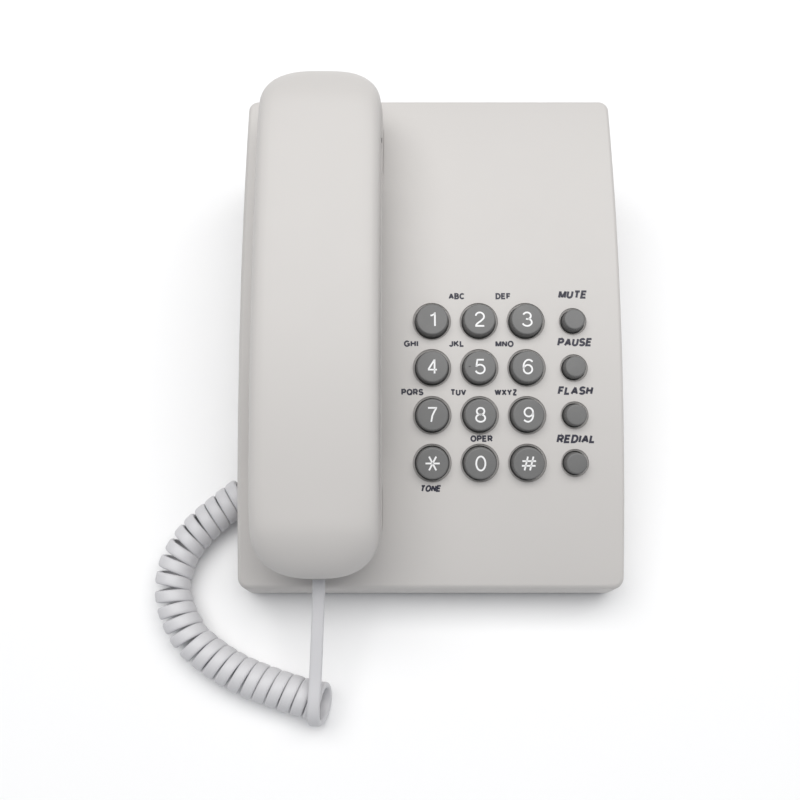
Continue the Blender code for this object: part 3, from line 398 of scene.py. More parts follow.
def dust_group():
    """Mask of the faint dust that gathers on faces that look up, thicker in patches."""
    tree, source, sink = new_group("settled_dust", [("Amount", 0.1)], ["Dust"])
    facing = tree.nodes.new("ShaderNodeSeparateXYZ")
    tree.links.new(tree.nodes.new("ShaderNodeNewGeometry").outputs["Normal"], facing.inputs[0])
    up = math_node(tree, "MAXIMUM", facing.outputs["Z"], 0.0)
    patch = node(tree, "ShaderNodeTexNoise", Scale=90.0, Detail=6.0, Roughness=0.7)
    tree.links.new(tree.nodes.new("ShaderNodeTexCoord").outputs["Object"], patch.inputs["Vector"])
    spread = math_node(tree, "MULTIPLY", math_node(tree, "POWER", patch.outputs["Fac"], 2.0), up)
    tree.links.new(math_node(tree, "MULTIPLY", spread, source.outputs["Amount"]), sink.inputs["Dust"])
    return tree


MOULDED_GRAIN = moulded_grain_group()
SETTLED_DUST = dust_group()
FINISHES = {}


def blank_finish(name, colour, roughness, metallic=0.0):
    """Material with a Principled shader, and its node tree and shader."""
    material = bpy.data.materials.new(name)
    material.use_nodes = True
    tree = material.node_tree
    shader = tree.nodes["Principled BSDF"]
    shader.inputs["Base Color"].default_value = (*colour, 1.0)
    shader.inputs["Roughness"].default_value = roughness
    shader.inputs["Metallic"].default_value = metallic
    FINISHES[name] = material
    return material, tree, shader


def placed_group(tree, group, **values):
    """Node that places a group in a material with its own values."""
    made = tree.nodes.new("ShaderNodeGroup")
    made.node_tree = group
    for name, value in values.items():
        made.inputs[name].default_value = value
    return made


def grained(name, colour, roughness, grain, depth, tone=0.04, gloss=0.10, dust=0.0, waviness=0.3,
            specular=0.5, metallic=0.0):
    """Moulded plastic or rubber: grain in its relief, a drifting tone and a gloss that varies."""
    material, tree, shader = blank_finish(name, colour, roughness, metallic)
    shader.inputs["Specular IOR Level"].default_value = specular
    surface = placed_group(tree, MOULDED_GRAIN, Grain=grain, Waviness=waviness)
    darker = (*(c * (1 - tone) for c in colour), 1.0)
    lighter = (*(min(1.0, c * (1 + tone)) for c in colour), 1.0)
    base = mixed_colour(tree, surface.outputs["Tone"], darker, lighter)
    if dust:
        film = placed_group(tree, SETTLED_DUST, Amount=dust)
        base = mixed_colour(tree, film.outputs["Dust"], base, (0.62, 0.60, 0.56, 1.0))
    tree.links.new(base, shader.inputs["Base Color"])
    spread = math_node(tree, "MULTIPLY", math_node(tree, "SUBTRACT", surface.outputs["Gloss"], 0.5), gloss)
    tree.links.new(math_node(tree, "ADD", spread, roughness), shader.inputs["Roughness"])
    relief = node(tree, "ShaderNodeBump", Strength=1.0, Distance=depth)
    tree.links.new(surface.outputs["Height"], relief.inputs["Height"])
    tree.links.new(relief.outputs["Normal"], shader.inputs["Normal"])
    return material


def cord_vinyl():
    """Soft vinyl of the lead: smooth, with dust in its turns."""
    material = grained("cord_vinyl", (0.625, 0.621, 0.637), 0.50, 1800.0, 0.00001, tone=0.03, gloss=0.16,
                       dust=0.10, waviness=0.8)
    shader = material.node_tree.nodes["Principled BSDF"]
    shader.inputs["Coat Weight"].default_value = 0.05
    shader.inputs["Coat Roughness"].default_value = 0.30
    return material


def clear_plug_plastic():
    """Clear polycarbonate with a trace of smoke, and flow marks in its relief."""
    material, tree, shader = blank_finish("clear_plug_plastic", (0.86, 0.88, 0.88), 0.10)
    shader.inputs["Transmission Weight"].default_value = 0.85
    shader.inputs["IOR"].default_value = 1.58
    surface = placed_group(tree, MOULDED_GRAIN, Grain=900.0, Waviness=1.5)
    tint = mixed_colour(tree, surface.outputs["Tone"], (0.80, 0.83, 0.84, 1.0), (0.90, 0.92, 0.92, 1.0))
    tree.links.new(tint, shader.inputs["Base Color"])
    relief = node(tree, "ShaderNodeBump", Strength=0.5, Distance=0.00002)
    tree.links.new(surface.outputs["Height"], relief.inputs["Height"])
    tree.links.new(relief.outputs["Normal"], shader.inputs["Normal"])
    return material


def brushed_metal(name, colour, roughness, streaks):
    """Rolled or plated metal with fine streaks along X."""
    material, tree, shader = blank_finish(name, colour, roughness, 1.0)
    stretch = tree.nodes.new("ShaderNodeMapping")
    stretch.inputs["Scale"].default_value = (streaks * 0.04, streaks, streaks)
    tree.links.new(tree.nodes.new("ShaderNodeTexCoord").outputs["Object"], stretch.inputs["Vector"])
    lines = node(tree, "ShaderNodeTexNoise", Scale=1.0, Detail=3.0)
    tree.links.new(stretch.outputs["Vector"], lines.inputs["Vector"])
    dull = (*(c * 0.82 for c in colour), 1.0)
    streaked = mixed_colour(tree, lines.outputs["Fac"], dull, (*colour, 1.0))
    tree.links.new(streaked, shader.inputs["Base Color"])
    spread = math_node(tree, "MULTIPLY", lines.outputs["Fac"], 0.18)
    tree.links.new(math_node(tree, "ADD", spread, roughness), shader.inputs["Roughness"])
    relief = node(tree, "ShaderNodeBump", Strength=0.4, Distance=0.00001)
    tree.links.new(lines.outputs["Fac"], relief.inputs["Height"])
    tree.links.new(relief.outputs["Normal"], shader.inputs["Normal"])
    return material


def board_laminate():
    """Green solder mask over copper tracks that run in short blocks."""
    material, tree, shader = blank_finish("board_laminate", (0.02, 0.11, 0.045), 0.34)
    tracks = node(tree, "ShaderNodeTexBrick", Scale=260.0, Mortar_Size=0.05, Bias=0.0)
    tracks.inputs["Color1"].default_value = (0.018, 0.095, 0.040, 1.0)
    tracks.inputs["Color2"].default_value = (0.022, 0.120, 0.050, 1.0)
    tracks.inputs["Mortar"].default_value = (0.060, 0.200, 0.080, 1.0)
    tree.links.new(tree.nodes.new("ShaderNodeTexCoord").outputs["Object"], tracks.inputs["Vector"])
    tree.links.new(tracks.outputs["Color"], shader.inputs["Base Color"])
    relief = node(tree, "ShaderNodeBump", Strength=0.6, Distance=0.00003)
    tree.links.new(tracks.outputs["Fac"], relief.inputs["Height"])
    tree.links.new(relief.outputs["Normal"], shader.inputs["Normal"])
    return material


def studio_floor_finish():
    """Plain pale floor with a barely visible unevenness."""
    material, tree, shader = blank_finish("studio_floor_finish", (0.93, 0.93, 0.93), 0.75)
    shader.inputs["Specular IOR Level"].default_value = 0.15
    drift = node(tree, "ShaderNodeTexNoise", Scale=2.0, Detail=2.0)
    tree.links.new(tree.nodes.new("ShaderNodeTexCoord").outputs["Object"], drift.inputs["Vector"])
    shade = mixed_colour(tree, drift.outputs["Fac"], (0.925, 0.925, 0.928, 1.0), (0.935, 0.935, 0.936, 1.0))
    tree.links.new(shade, shader.inputs["Base Color"])
    return material


def make_finishes():
    """Every finish of the telephone."""
    grained("housing_plastic", (0.582, 0.562, 0.544), 0.47, 2600.0, 0.000016, tone=0.018, gloss=0.12,
            dust=0.10, waviness=0.15)
    grained("key_plastic", (0.142, 0.142, 0.141), 0.46, 3600.0, 0.000012, tone=0.05, gloss=0.14, dust=0.10)
    grained("legend_ink", (0.86, 0.86, 0.86), 0.42, 6000.0, 0.000006, tone=0.03, gloss=0.10)
    grained("label_ink", (0.022, 0.022, 0.040), 0.50, 6000.0, 0.000006, tone=0.12, gloss=0.10)
    grained("black_nylon", (0.018, 0.018, 0.019), 0.45, 3000.0, 0.00002, tone=0.10, gloss=0.12, dust=0.05)
    grained("foot_rubber", (0.030, 0.030, 0.031), 0.78, 2400.0, 0.00004, tone=0.12, gloss=0.10, dust=0.12)
    grained("mat_rubber", (0.42, 0.42, 0.41), 0.66, 2000.0, 0.00002, tone=0.05, gloss=0.08, dust=0.05)
    cord_vinyl()
    clear_plug_plastic()
    brushed_metal("gold_plate", (0.83, 0.60, 0.23), 0.22, 4000.0)
    brushed_metal("plated_steel", (0.62, 0.62, 0.63), 0.26, 2500.0)
    brushed_metal("capsule_metal", (0.55, 0.55, 0.54), 0.34, 1800.0)
    board_laminate()


# ---------------------------------------------------------------------------------------------
# Mesh tools
# ---------------------------------------------------------------------------------------------

def from_bmesh(name, form, matrix=PLAIN):
    """Object for a finished bmesh, with its faces turned outward."""
    bmesh.ops.recalc_face_normals(form, faces=form.faces)
    mesh = bpy.data.meshes.new(name)
    form.to_mesh(mesh)
    form.free()
    mesh.transform(matrix)
    item = bpy.data.objects.new(name, mesh)
    bpy.context.scene.collection.objects.link(item)
    return item


def loft(name, rings):
    """Closed form through rings that have the same number of points."""
    form = bmesh.new()
    rows = [[form.verts.new(point) for point in ring] for ring in rings]
    count = len(rows[0])
    for low, high in zip(rows, rows[1:]):
        for i in range(count):
            j = (i + 1) % count
            form.faces.new((low[i], low[j], high[j], high[i]))
    form.faces.new(rows[0][::-1])
    form.faces.new(rows[-1])
    return from_bmesh(name, form)


def placed(matrix, outline, height):
    """Ring in space from a flat outline."""
    return [matrix @ Vector((x, y, height)) for x, y in outline]


def bent(x, along, outline, height):
    """Ring that follows the face's arc, from an outline round a place on the face."""
    return [face_point(x + dx, along + dy, height) for dx, dy in outline]


def circle(radius, sides=ROUND):
    """Round outline."""
    turns = [2 * math.pi * i / sides for i in range(sides)]
    return [(radius * math.cos(turn), radius * math.sin(turn)) for turn in turns]


def rounded_rectangle(x0, x1, y0, y1, radius, steps=8):
    """Outline with round corners, anticlockwise."""
    corners = [(x1 - radius, y1 - radius, 0), (x0 + radius, y1 - radius, 90),
               (x0 + radius, y0 + radius, 180), (x1 - radius, y0 + radius, 270)]
    points = []
    for x, y, start in corners:
        for step in range(steps + 1):
            angle = math.radians(start + 90 * step / steps)
            points.append((x + radius * math.cos(angle), y + radius * math.sin(angle)))
    return points


def oblong(width, length, radius, steps=8):
    """Rounded rectangle about the origin."""
    return rounded_rectangle(-width / 2, width / 2, -length / 2, length / 2, radius, steps)


def quarter(steps=5):
    """Pairs (forward, up) along a quarter circle of radius 1 that starts upright and ends level."""
    turns = [math.pi / 2 * i / steps for i in range(steps + 1)]
    return [(1 - math.cos(turn), math.sin(turn)) for turn in turns]


def turned(name, profile, matrix=PLAIN, sides=ROUND):
    """Closed round piece from (radius, height) points that run from one end of its axis to the other."""
    form = bmesh.new()
    rows = []
    for radius, height in profile:
        if radius == 0:
            rows.append([form.verts.new((0, 0, height))])
        else:
            rows.append([form.verts.new((x, y, height)) for x, y in circle(radius, sides)])
    for low, high in zip(rows, rows[1:]):
        for i in range(sides):
            j = (i + 1) % sides
            corners = [low[0], high[j], high[i]] if len(low) == 1 else [low[i], low[j], high[0]]
            if len(low) > 1 and len(high) > 1:
                corners = [low[i], low[j], high[j], high[i]]
            form.faces.new(corners)
    return from_bmesh(name, form, matrix)


def rods(name, radius, low, high, matrices, sides=24):
    """Rods along Z of each of the matrices, in one mesh."""
    form = bmesh.new()
    for matrix in matrices:
        bmesh.ops.create_cone(form, cap_ends=True, segments=sides, radius1=radius, radius2=radius,
                              depth=high - low, matrix=matrix @ Matrix.Translation((0, 0, (low + high) / 2)))
    return from_bmesh(name, form)


def rounded_box(name, low, high, edge, matrix=PLAIN, segments=3):
    """Box between two corners with rounded edges."""
    form = bmesh.new()
    bmesh.ops.create_cube(form, size=1.0)
    for vert in form.verts:
        vert.co = [low[i] if vert.co[i] < 0 else high[i] for i in range(3)]
    if edge:
        bmesh.ops.bevel(form, geom=form.edges[:], offset=edge, segments=segments, profile=0.5, affect="EDGES")
    return from_bmesh(name, form, matrix)


def settle(item):
    """Turns an object's modifiers into its mesh."""
    seen = item.evaluated_get(bpy.context.evaluated_depsgraph_get())
    mesh = bpy.data.meshes.new_from_object(seen)
    item.modifiers.clear()
    old = item.data
    item.data = mesh
    bpy.data.meshes.remove(old)


def worked(item, operation, tools):
    """Cuts, joins or intersects an object with tools, which are used up."""
    for tool in tools:
        step = item.modifiers.new("work", "BOOLEAN")
        step.operation = operation
        step.solver = "EXACT"
        step.object = tool
    settle(item)
    for tool in tools:
        mesh = tool.data
        bpy.data.objects.remove(tool)
        bpy.data.meshes.remove(mesh)
    return item


def cut(item, *tools):
    """Cuts the tools out of an object."""
    return worked(item, "DIFFERENCE", tools)


def join(item, *tools):
    """Joins the tools to an object."""
    return worked(item, "UNION", tools)


def dress(item, finish, body, nodes=(), sharp=32.0):
    """Smooths an object's shading, gives it its finish and puts it on its body."""
    item.data.shade_smooth()
    item.data.set_sharp_from_angle(angle=math.radians(sharp))
    weigh = item.modifiers.new("face_normals", "WEIGHTED_NORMAL")
    weigh.keep_sharp = True
    weigh.weight = 100
    item.data.materials.clear()
    item.data.materials.append(FINISHES[finish])
    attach(item, body)
    if nodes:
        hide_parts(*nodes)
    return item


# ---------------------------------------------------------------------------------------------
# Cord
# ---------------------------------------------------------------------------------------------

def smooth_route(points, spacing):
    """Points about `spacing` apart on a smooth curve through the given ones."""
    points = [Vector(p) for p in points]
    padded = [2 * points[0] - points[1], *points, 2 * points[-1] - points[-2]]
    fine = []
    for a, b, c, d in zip(padded, padded[1:], padded[2:], padded[3:]):
        for step in range(40):
            t = step / 40
            fine.append(0.5 * ((2 * b) + (c - a) * t + (2 * a - 5 * b + 4 * c - d) * t**2
                               + (3 * b - a - 3 * c + d) * t**3))
    fine.append(points[-1])
    lengths = [0.0]
    for a, b in zip(fine, fine[1:]):
        lengths.append(lengths[-1] + (b - a).length)
    count = max(2, round(lengths[-1] / spacing) + 1)
    route, at = [], 0
    for i in range(count):
        want = lengths[-1] * i / (count - 1)
        while at < len(fine) - 2 and lengths[at + 1] < want:
            at += 1
        share = (want - lengths[at]) / (lengths[at + 1] - lengths[at])
        route.append(fine[at].lerp(fine[at + 1], share))
    return route


def smoothstep(share):
    """Eases from 0 to 1."""
    share = min(1.0, max(0.0, share))
    return share * share * (3 - 2 * share)


def bend_of(route, i):
    """Curvature of a route in plan at one of its points."""
    low, high = max(0, i - 6), min(len(route) - 1, i + 6)
    before, after = route[i] - route[low], route[high] - route[i]
    if before.length < 1e-9 or after.length < 1e-9:
        return 0.0
    return before.angle(after) / ((before.length + after.length) / 2)


def turns_along(axis, step, middle_radius):
    """Turns that the lead has wound at each point of the coil's axis, from under it to its top at the end."""
    wound = [0.0]
    for i in range(1, len(axis)):
        pitch = (LEAD_WIDTH + TURN_GAP) / (1 - TURN_TILT * middle_radius * bend_of(axis, i))
        wound.append(wound[-1] + step / pitch)
    in_all = round(wound[-1] - FIRST_TURN) + FIRST_TURN
    return [turn * in_all / wound[-1] - FIRST_TURN for turn in wound]


def curly_run(start, middle_radius):
    """Points and outward directions of the turns, from under the first to the top of the last."""
    step = 0.0001
    axis = smooth_route([start, *((x, y, COIL_RADIUS) for x, y in COIL_ROUTE)], step)
    wound = turns_along(axis, step, middle_radius)
    points, outward, due = [], [], wound[0]
    for i, turn in enumerate(wound):
        if turn < due and i < len(wound) - 1:
            continue
        due = turn + 1 / 30
        forward = (axis[min(i + 1, len(axis) - 1)] - axis[max(i - 1, 0)]).normalized()
        side = Vector((0, 0, 1)).cross(forward).normalized()
        angle = 2 * math.pi * turn
        out = Vector((0, 0, 1)) * math.cos(angle) + side * math.sin(angle)
        points.append(axis[i] + out * middle_radius)
        outward.append(out)
    return points, outward


def last_turn(middle_radius, centre):
    """Points and outward directions of the loose last turn, from its top by the rear and under to its front.

    It swings out to the side under the lead, so that the open end of the run shows.
    """
    points, outward = [], []
    steps = 24
    swing, forward = 0.0034, 0.0011
    front_radius = centre.y - forward - LEAD_FRONT
    for i in range(1, steps + 1):
        share = i / steps
        angle = 1.5 * math.pi * share
        out = Vector((0, math.sin(angle), math.cos(angle)))
        radius = middle_radius + (front_radius - middle_radius) * smoothstep((share - 0.66) / 0.34)
        aside = (LEAD_X - centre.x) * share + swing * math.sin(math.pi * share**1.3)
        points.append(centre + Vector((aside, -forward * share, 0)) + out * radius)
        outward.append(out)
    return points, outward


def lead_to_handset():
    """Points and outward directions of the lead from the front of the last turn up to the handset's plug."""
    points = smooth_route([*LEAD_ROUTE, cord_mouth()], 0.0012)
    outward = []
    for i in range(len(points)):
        along = points[min(i + 1, len(points) - 1)] - points[max(i - 1, 0)]
        outward.append(Vector((0, -along.z, along.y)).normalized())
    return points, outward


def cord_line():
    """Centreline of the lead from the base's plug to the handset's, and which way its flat side faces."""
    middle_radius = COIL_RADIUS - LEAD_THICKNESS / 2
    exit_point = Vector((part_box("base_cord_plug")[0].x, JACK_MIDDLE.y, JACK_MIDDLE.z))
    start = Vector((exit_point.x - 0.0006, exit_point.y - 0.0008, COIL_RADIUS))
    points, outward = curly_run(start, middle_radius)
    centre = points[-1] - outward[-1] * middle_radius
    for stretch in (last_turn(middle_radius, centre), lead_to_handset()):
        points += stretch[0]
        outward += stretch[1]
    first = [exit_point + Vector((0.0004, 0, 0)), exit_point.lerp(points[0], 0.45) + Vector((0, 0, -0.0002))]
    points = first + points
    outward = [Vector((0, 0, -1))] * len(first) + outward
    return exit_point, eased(points), eased(outward)


def cord_mouth():
    """Point where the lead goes into the handset's plug."""
    frame_of_jack = MOUTH_FRAME @ Matrix.Translation((0, -MOUTH_LENGTH / 2 + SHELL_WALL + GAP, 0.0080))
    return frame_of_jack @ Vector((0, -SHELL_WALL - PLUG_TAIL, 0))


def eased(points):
    """The same points with the small kinks between stretches taken out."""
    for _ in range(3):
        middle = [(a + 2 * b + c) / 4 for a, b, c in zip(points, points[1:], points[2:])]
        points = [points[0], *middle, points[-1]]
    return points


def lead_section():
    """Flat section with full round edges, as (across the width, through the thickness)."""
    half_width, half_thickness = LEAD_WIDTH / 2, LEAD_THICKNESS / 2
    power = 0.55
    section = []
    for i in range(20):
        turn = 2 * math.pi * i / 20
        across = math.copysign(abs(math.cos(turn)) ** power, math.cos(turn)) * half_width
        through = math.copysign(abs(math.sin(turn)) ** (power + 0.15), math.sin(turn)) * half_thickness
        section.append((across, through))
    return section


def add_cord():
    """The whole lead as one ribbon."""
    exit_point, points, outward = cord_line()
    section = lead_section()
    rings = []
    for i, point in enumerate(points):
        along = (points[min(i + 1, len(points) - 1)] - points[max(i - 1, 0)]).normalized()
        out = outward[i] - along * outward[i].dot(along)
        out.normalize()
        width = along.cross(out)
        rings.append([point + width * across + out * through for across, through in section])
    ribbon = loft("cord_ribbon", rings)
    ribbon.data.shade_smooth()
    ribbon.data.set_sharp_from_angle(angle=math.radians(50))
    ribbon.data.materials.append(FINISHES["cord_vinyl"])
    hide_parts("handset_cord_tail", "handset_cord_coil", "handset_cord_lead")
    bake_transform(ribbon)
    return ribbon, exit_point, points


def contacts(name, matrix, body, width, count, low, high):
    """Row of gold blades or wires across a plug or a socket, between two corners (y, z)."""
    pitch = width / (count + 1)
    form = bmesh.new()
    for i in range(count):
        x = -width / 2 + pitch * (i + 1)
        made = bmesh.ops.create_cube(form, size=1.0)
        for vert in made["verts"]:
            vert.co = (x + math.copysign(pitch * 0.25, vert.co.x), low[0] if vert.co.y < 0 else high[0],
                       low[1] if vert.co.z < 0 else high[1])
    return dress(from_bmesh(name, form, matrix), "gold_plate", body)


def modular_plug(name, matrix, body, node):
    """Clear plug with a sprung tab under it, a strain relief round the lead and four gold blades."""
    half_x, half_z, depth = CORD_PLUG[0] / 2, CORD_PLUG[1] / 2, CORD_PLUG[2]
    shell = rounded_box(name, (-half_x, 0, -half_z + 0.0012), (half_x, depth, half_z), 0.00025, matrix)
    neck = rounded_box(name + "_neck", (-half_x + 0.0006, -PLUG_TAIL, -half_z + 0.0014),
                       (half_x - 0.0006, 0.002, half_z - 0.0004), 0.0004, matrix)
    tab = rounded_box(name + "_tab", (-0.0015, -0.0026, -half_z), (0.0015, depth * 0.82, -half_z + 0.0007),
                      0.0002, matrix)
    root = rounded_box(name + "_root", (-0.0015, depth * 0.66, -half_z + 0.0003),
                       (0.0015, depth * 0.80, -half_z + 0.0016), 0.0002, matrix)
    join(shell, neck, tab, root)
    dress(shell, "clear_plug_plastic", body, [node])
    blades = contacts(name + "_blades", matrix, body, CORD_PLUG[0] - 0.0020, 4,
                      (depth - 0.0046, half_z - 0.0022), (depth - 0.0006, half_z - 0.0002))
    return [shell, blades]


# ---------------------------------------------------------------------------------------------
# Body
# ---------------------------------------------------------------------------------------------

def plan_outline(inset, steps=8):
    """The body seen from above, with its walls moved in."""
    x, y = BODY_WIDTH / 2 - inset, BODY_DEPTH / 2 - inset
    return rounded_rectangle(-x, x, -y, y, max(CORNER_RADIUS - inset, 0.0012), steps)


def side_outline(inset):
    """The body seen from its side, as (y, z); no crease of the arc falls within the round corners."""
    clear = 0.0065
    strips = 40
    past = 0.020
    inner = [clear + (FACE_LENGTH - 2 * clear) * i / strips for i in range(strips + 1)]
    stops = [-past, *inner, FACE_LENGTH + past]
    points = [face_point(0, along, -inset) for along in stops]
    outline = [(point.y, point.z) for point in points]
    return outline + [(outline[-1][0], -0.030), (outline[0][0], -0.030)]


def body_form(name, inset, low):
    """The body's outer form, moved in by `inset` and open-ended at `low`."""
    column = loft(name, [placed(PLAIN, plan_outline(inset), z) for z in (low, REAR_HEIGHT + 0.020)])
    side = [[(x, y, z) for y, z in side_outline(inset)] for x in (-BODY_WIDTH, BODY_WIDTH)]
    return worked(column, "INTERSECT", [loft(name + "_side", side)])


def well_rings(along, length):
    """Rings of a well's cutter: a filleted floor, an upright wall and a rolled rim on the arc."""
    frame_here = face_frame(HANDSET_X, along)

    def outline(grow):
        grown = WELL_CLEARANCE + grow
        return oblong(CAP_WIDTH + 2 * grown, length + 2 * grown, CAP_RADIUS + grown, 10)

    rings = []
    for out, up in [(1 - a, 1 - b) for a, b in quarter()][::-1]:
        rings.append(placed(frame_here, outline(-WELL_FILLET * (1 - out)), -WELL_DEPTH + WELL_FILLET * up))
    for out, up in quarter(6)[:-1]:
        rings.append(bent(HANDSET_X, along, outline(WELL_RIM * out), -WELL_RIM * (1 - up)))
    rings.append(bent(HANDSET_X, along, outline(WELL_RIM * 1.25), 0.00025))
    rings.append(bent(HANDSET_X, along, outline(WELL_RIM * 1.25), 0.030))
    return rings


def key_hole_rings(matrix, radius, along):
    """Rings of a key hole's cutter: an upright bore under a recess whose edge follows the arc."""
    bore, x = radius + KEY_BORE_GAP, matrix[0][3]
    rings = [placed(matrix, circle(bore), -WALL - 0.003)]
    return rings + [bent(x, along, circle(bore + out), up) for out, up in KEY_RECESS]


def lipped_hole(name, x0, x1, half_z, corner, start, end, matrix, lip=0.0004):
    """Cutter for a hole in a wall along the frame's +Y, with a softened lip at y = start."""
    def ring(y, grow):
        outline = rounded_rectangle(x0 - grow, x1 + grow, -half_z - grow, half_z + grow, corner + grow, 4)
        return [matrix @ Vector((x, y, z)) for x, z in outline]

    rings = [ring(start - 0.006, lip * 1.2), ring(start - 0.0001, lip * 1.2)]
    rings += [ring(start + lip * up, lip * (1 - out)) for out, up in [(b, a) for a, b in quarter(3)][1:]]
    return loft(name, rings + [ring(end, 0.0)])


def switch_frames():
    """Name, frame on the wall's outer side and ends of the knob's travel of each slide switch."""
    ringer, mode = middle_of("ringer_switch_knob"), middle_of("mode_switch_knob")
    right = Matrix.Translation((BODY_HIGH.x, ringer.y, ringer.z)) @ Matrix.Rotation(math.pi / 2, 4, "Z")
    rear = Matrix.Translation((mode.x, BODY_HIGH.y, mode.z)) @ Matrix.Rotation(math.pi, 4, "Z")
    return [("ringer_switch", right, -SWITCH_TRAVEL, SWITCH_TRAVEL),
            ("mode_switch", rear, -SWITCH_TRAVEL, 0.0)]


def wall_cutters():
    """Cutters for the sockets' holes and the slide switches' recesses and slots."""
    plug_x, plug_z = CORD_PLUG[0] / 2 + PLUG_CLEARANCE, CORD_PLUG[1] / 2 + PLUG_CLEARANCE
    line_x, line_z = LINE_SOCKET[0] / 2, LINE_SOCKET[1] / 2
    wall_face = -WALL - GAP
    tools = [lipped_hole("base_jack_hole", -plug_x, plug_x, plug_z, HOLE_CORNER, wall_face, 0.002,
                         BASE_JACK_FRAME),
             lipped_hole("line_jack_hole", -line_x, line_x, line_z, HOLE_CORNER, wall_face, 0.002,
                         LINE_JACK_FRAME)]
    half_x, half_z = KNOB_SIZE[0] / 2, KNOB_SIZE[1] / 2
    margin = 0.0020
    for name, matrix, low, high in switch_frames():
        x0, x1 = low - half_x, high + half_x
        tools.append(lipped_hole(name + "_recess", x0 - margin, x1 + margin, half_z + margin, 0.0012, 0.0,
                                 SWITCH_RECESS, matrix, lip=0.0005))
        tools.append(lipped_hole(name + "_slot", x0 - GAP, x1 + GAP, half_z + GAP, HOLE_CORNER,
                                 SWITCH_RECESS - 0.0001,
                                 WALL + 0.001, matrix, lip=0.0002))
    return tools


def screw_places():
    """Middle of each screw that holds the two halves of the body together."""
    return [middle_of("cover_screw_" + corner) for corner in feet()]


def cover_cavity():
    """The hollow of the upper cover, less the wells' walls and the screws' bosses that stay in it."""
    cavity = body_form("cover_cavity", WALL, -0.020)
    walls = []
    for along, length in ((EAR_ALONG, EAR_LENGTH), (MOUTH_ALONG, MOUTH_LENGTH)):
        grown = 2 * (WELL_CLEARANCE + WALL)
        outline = oblong(CAP_WIDTH + grown, length + grown, CAP_RADIUS + grown / 2)
        matrix = face_frame(HANDSET_X, along)
        walls.append(loft("well_wall", [placed(matrix, outline, z) for z in (-WELL_DEPTH - WALL, 0.030)]))
    bosses = [Matrix.Translation((place.x, place.y, 0)) for place in screw_places()]
    walls.append(rods("screw_bosses", BOSS_RADIUS, RIM_HEIGHT + 0.0013, 0.100, bosses))
    return cut(cavity, *walls)


def add_upper_cover():
    """Face, side walls and wells of the body, in one moulding."""
    cover = body_form("face_moulding", 0.0, RIM_HEIGHT - 2 * EDGE_ROUND)
    rounding = cover.modifiers.new("rounding", "BEVEL")
    rounding.width = EDGE_ROUND
    rounding.segments = 6
    rounding.limit_method = "ANGLE"
    rounding.angle_limit = math.radians(40)
    settle(cover)
    wide = BODY_WIDTH
    cut(cover, rounded_box("below_rim", (-wide, -wide, -0.030), (wide, wide, RIM_HEIGHT), 0))
    pockets = [loft("well_pocket", well_rings(along, length))
               for along, length in ((EAR_ALONG, EAR_LENGTH), (MOUTH_ALONG, MOUTH_LENGTH))]
    holes = [loft(body + "_hole", key_hole_rings(matrix, radius, key_along(body)))
             for body, (matrix, radius) in KEYS.items()]
    width, length = HOOK_SIZE
    hook = oblong(width + 0.0008, length + 0.0008, 0.0015)
    hook_hole = loft("hook_hole", [placed(HOOK_FRAME, hook, z) for z in (-0.020, 0.0)])
    bosses = [Matrix.Translation((place.x, place.y, 0)) for place in screw_places()]
    pilots = rods("screw_pilots", SCREW_RADIUS + GAP, -0.010, RIM_HEIGHT + 0.0105, bosses)
    cut(cover, cover_cavity(), *pockets, joined("key_holes", holes), hook_hole, pilots, *wall_cutters())
    dress(cover, "housing_plastic", "base", ["upper_cover"])


def joined(name, items):
    """One object from several that don't touch."""
    form = bmesh.new()
    for item in items:
        form.from_mesh(item.data)
        bpy.data.objects.remove(item)
    return from_bmesh(name, form)


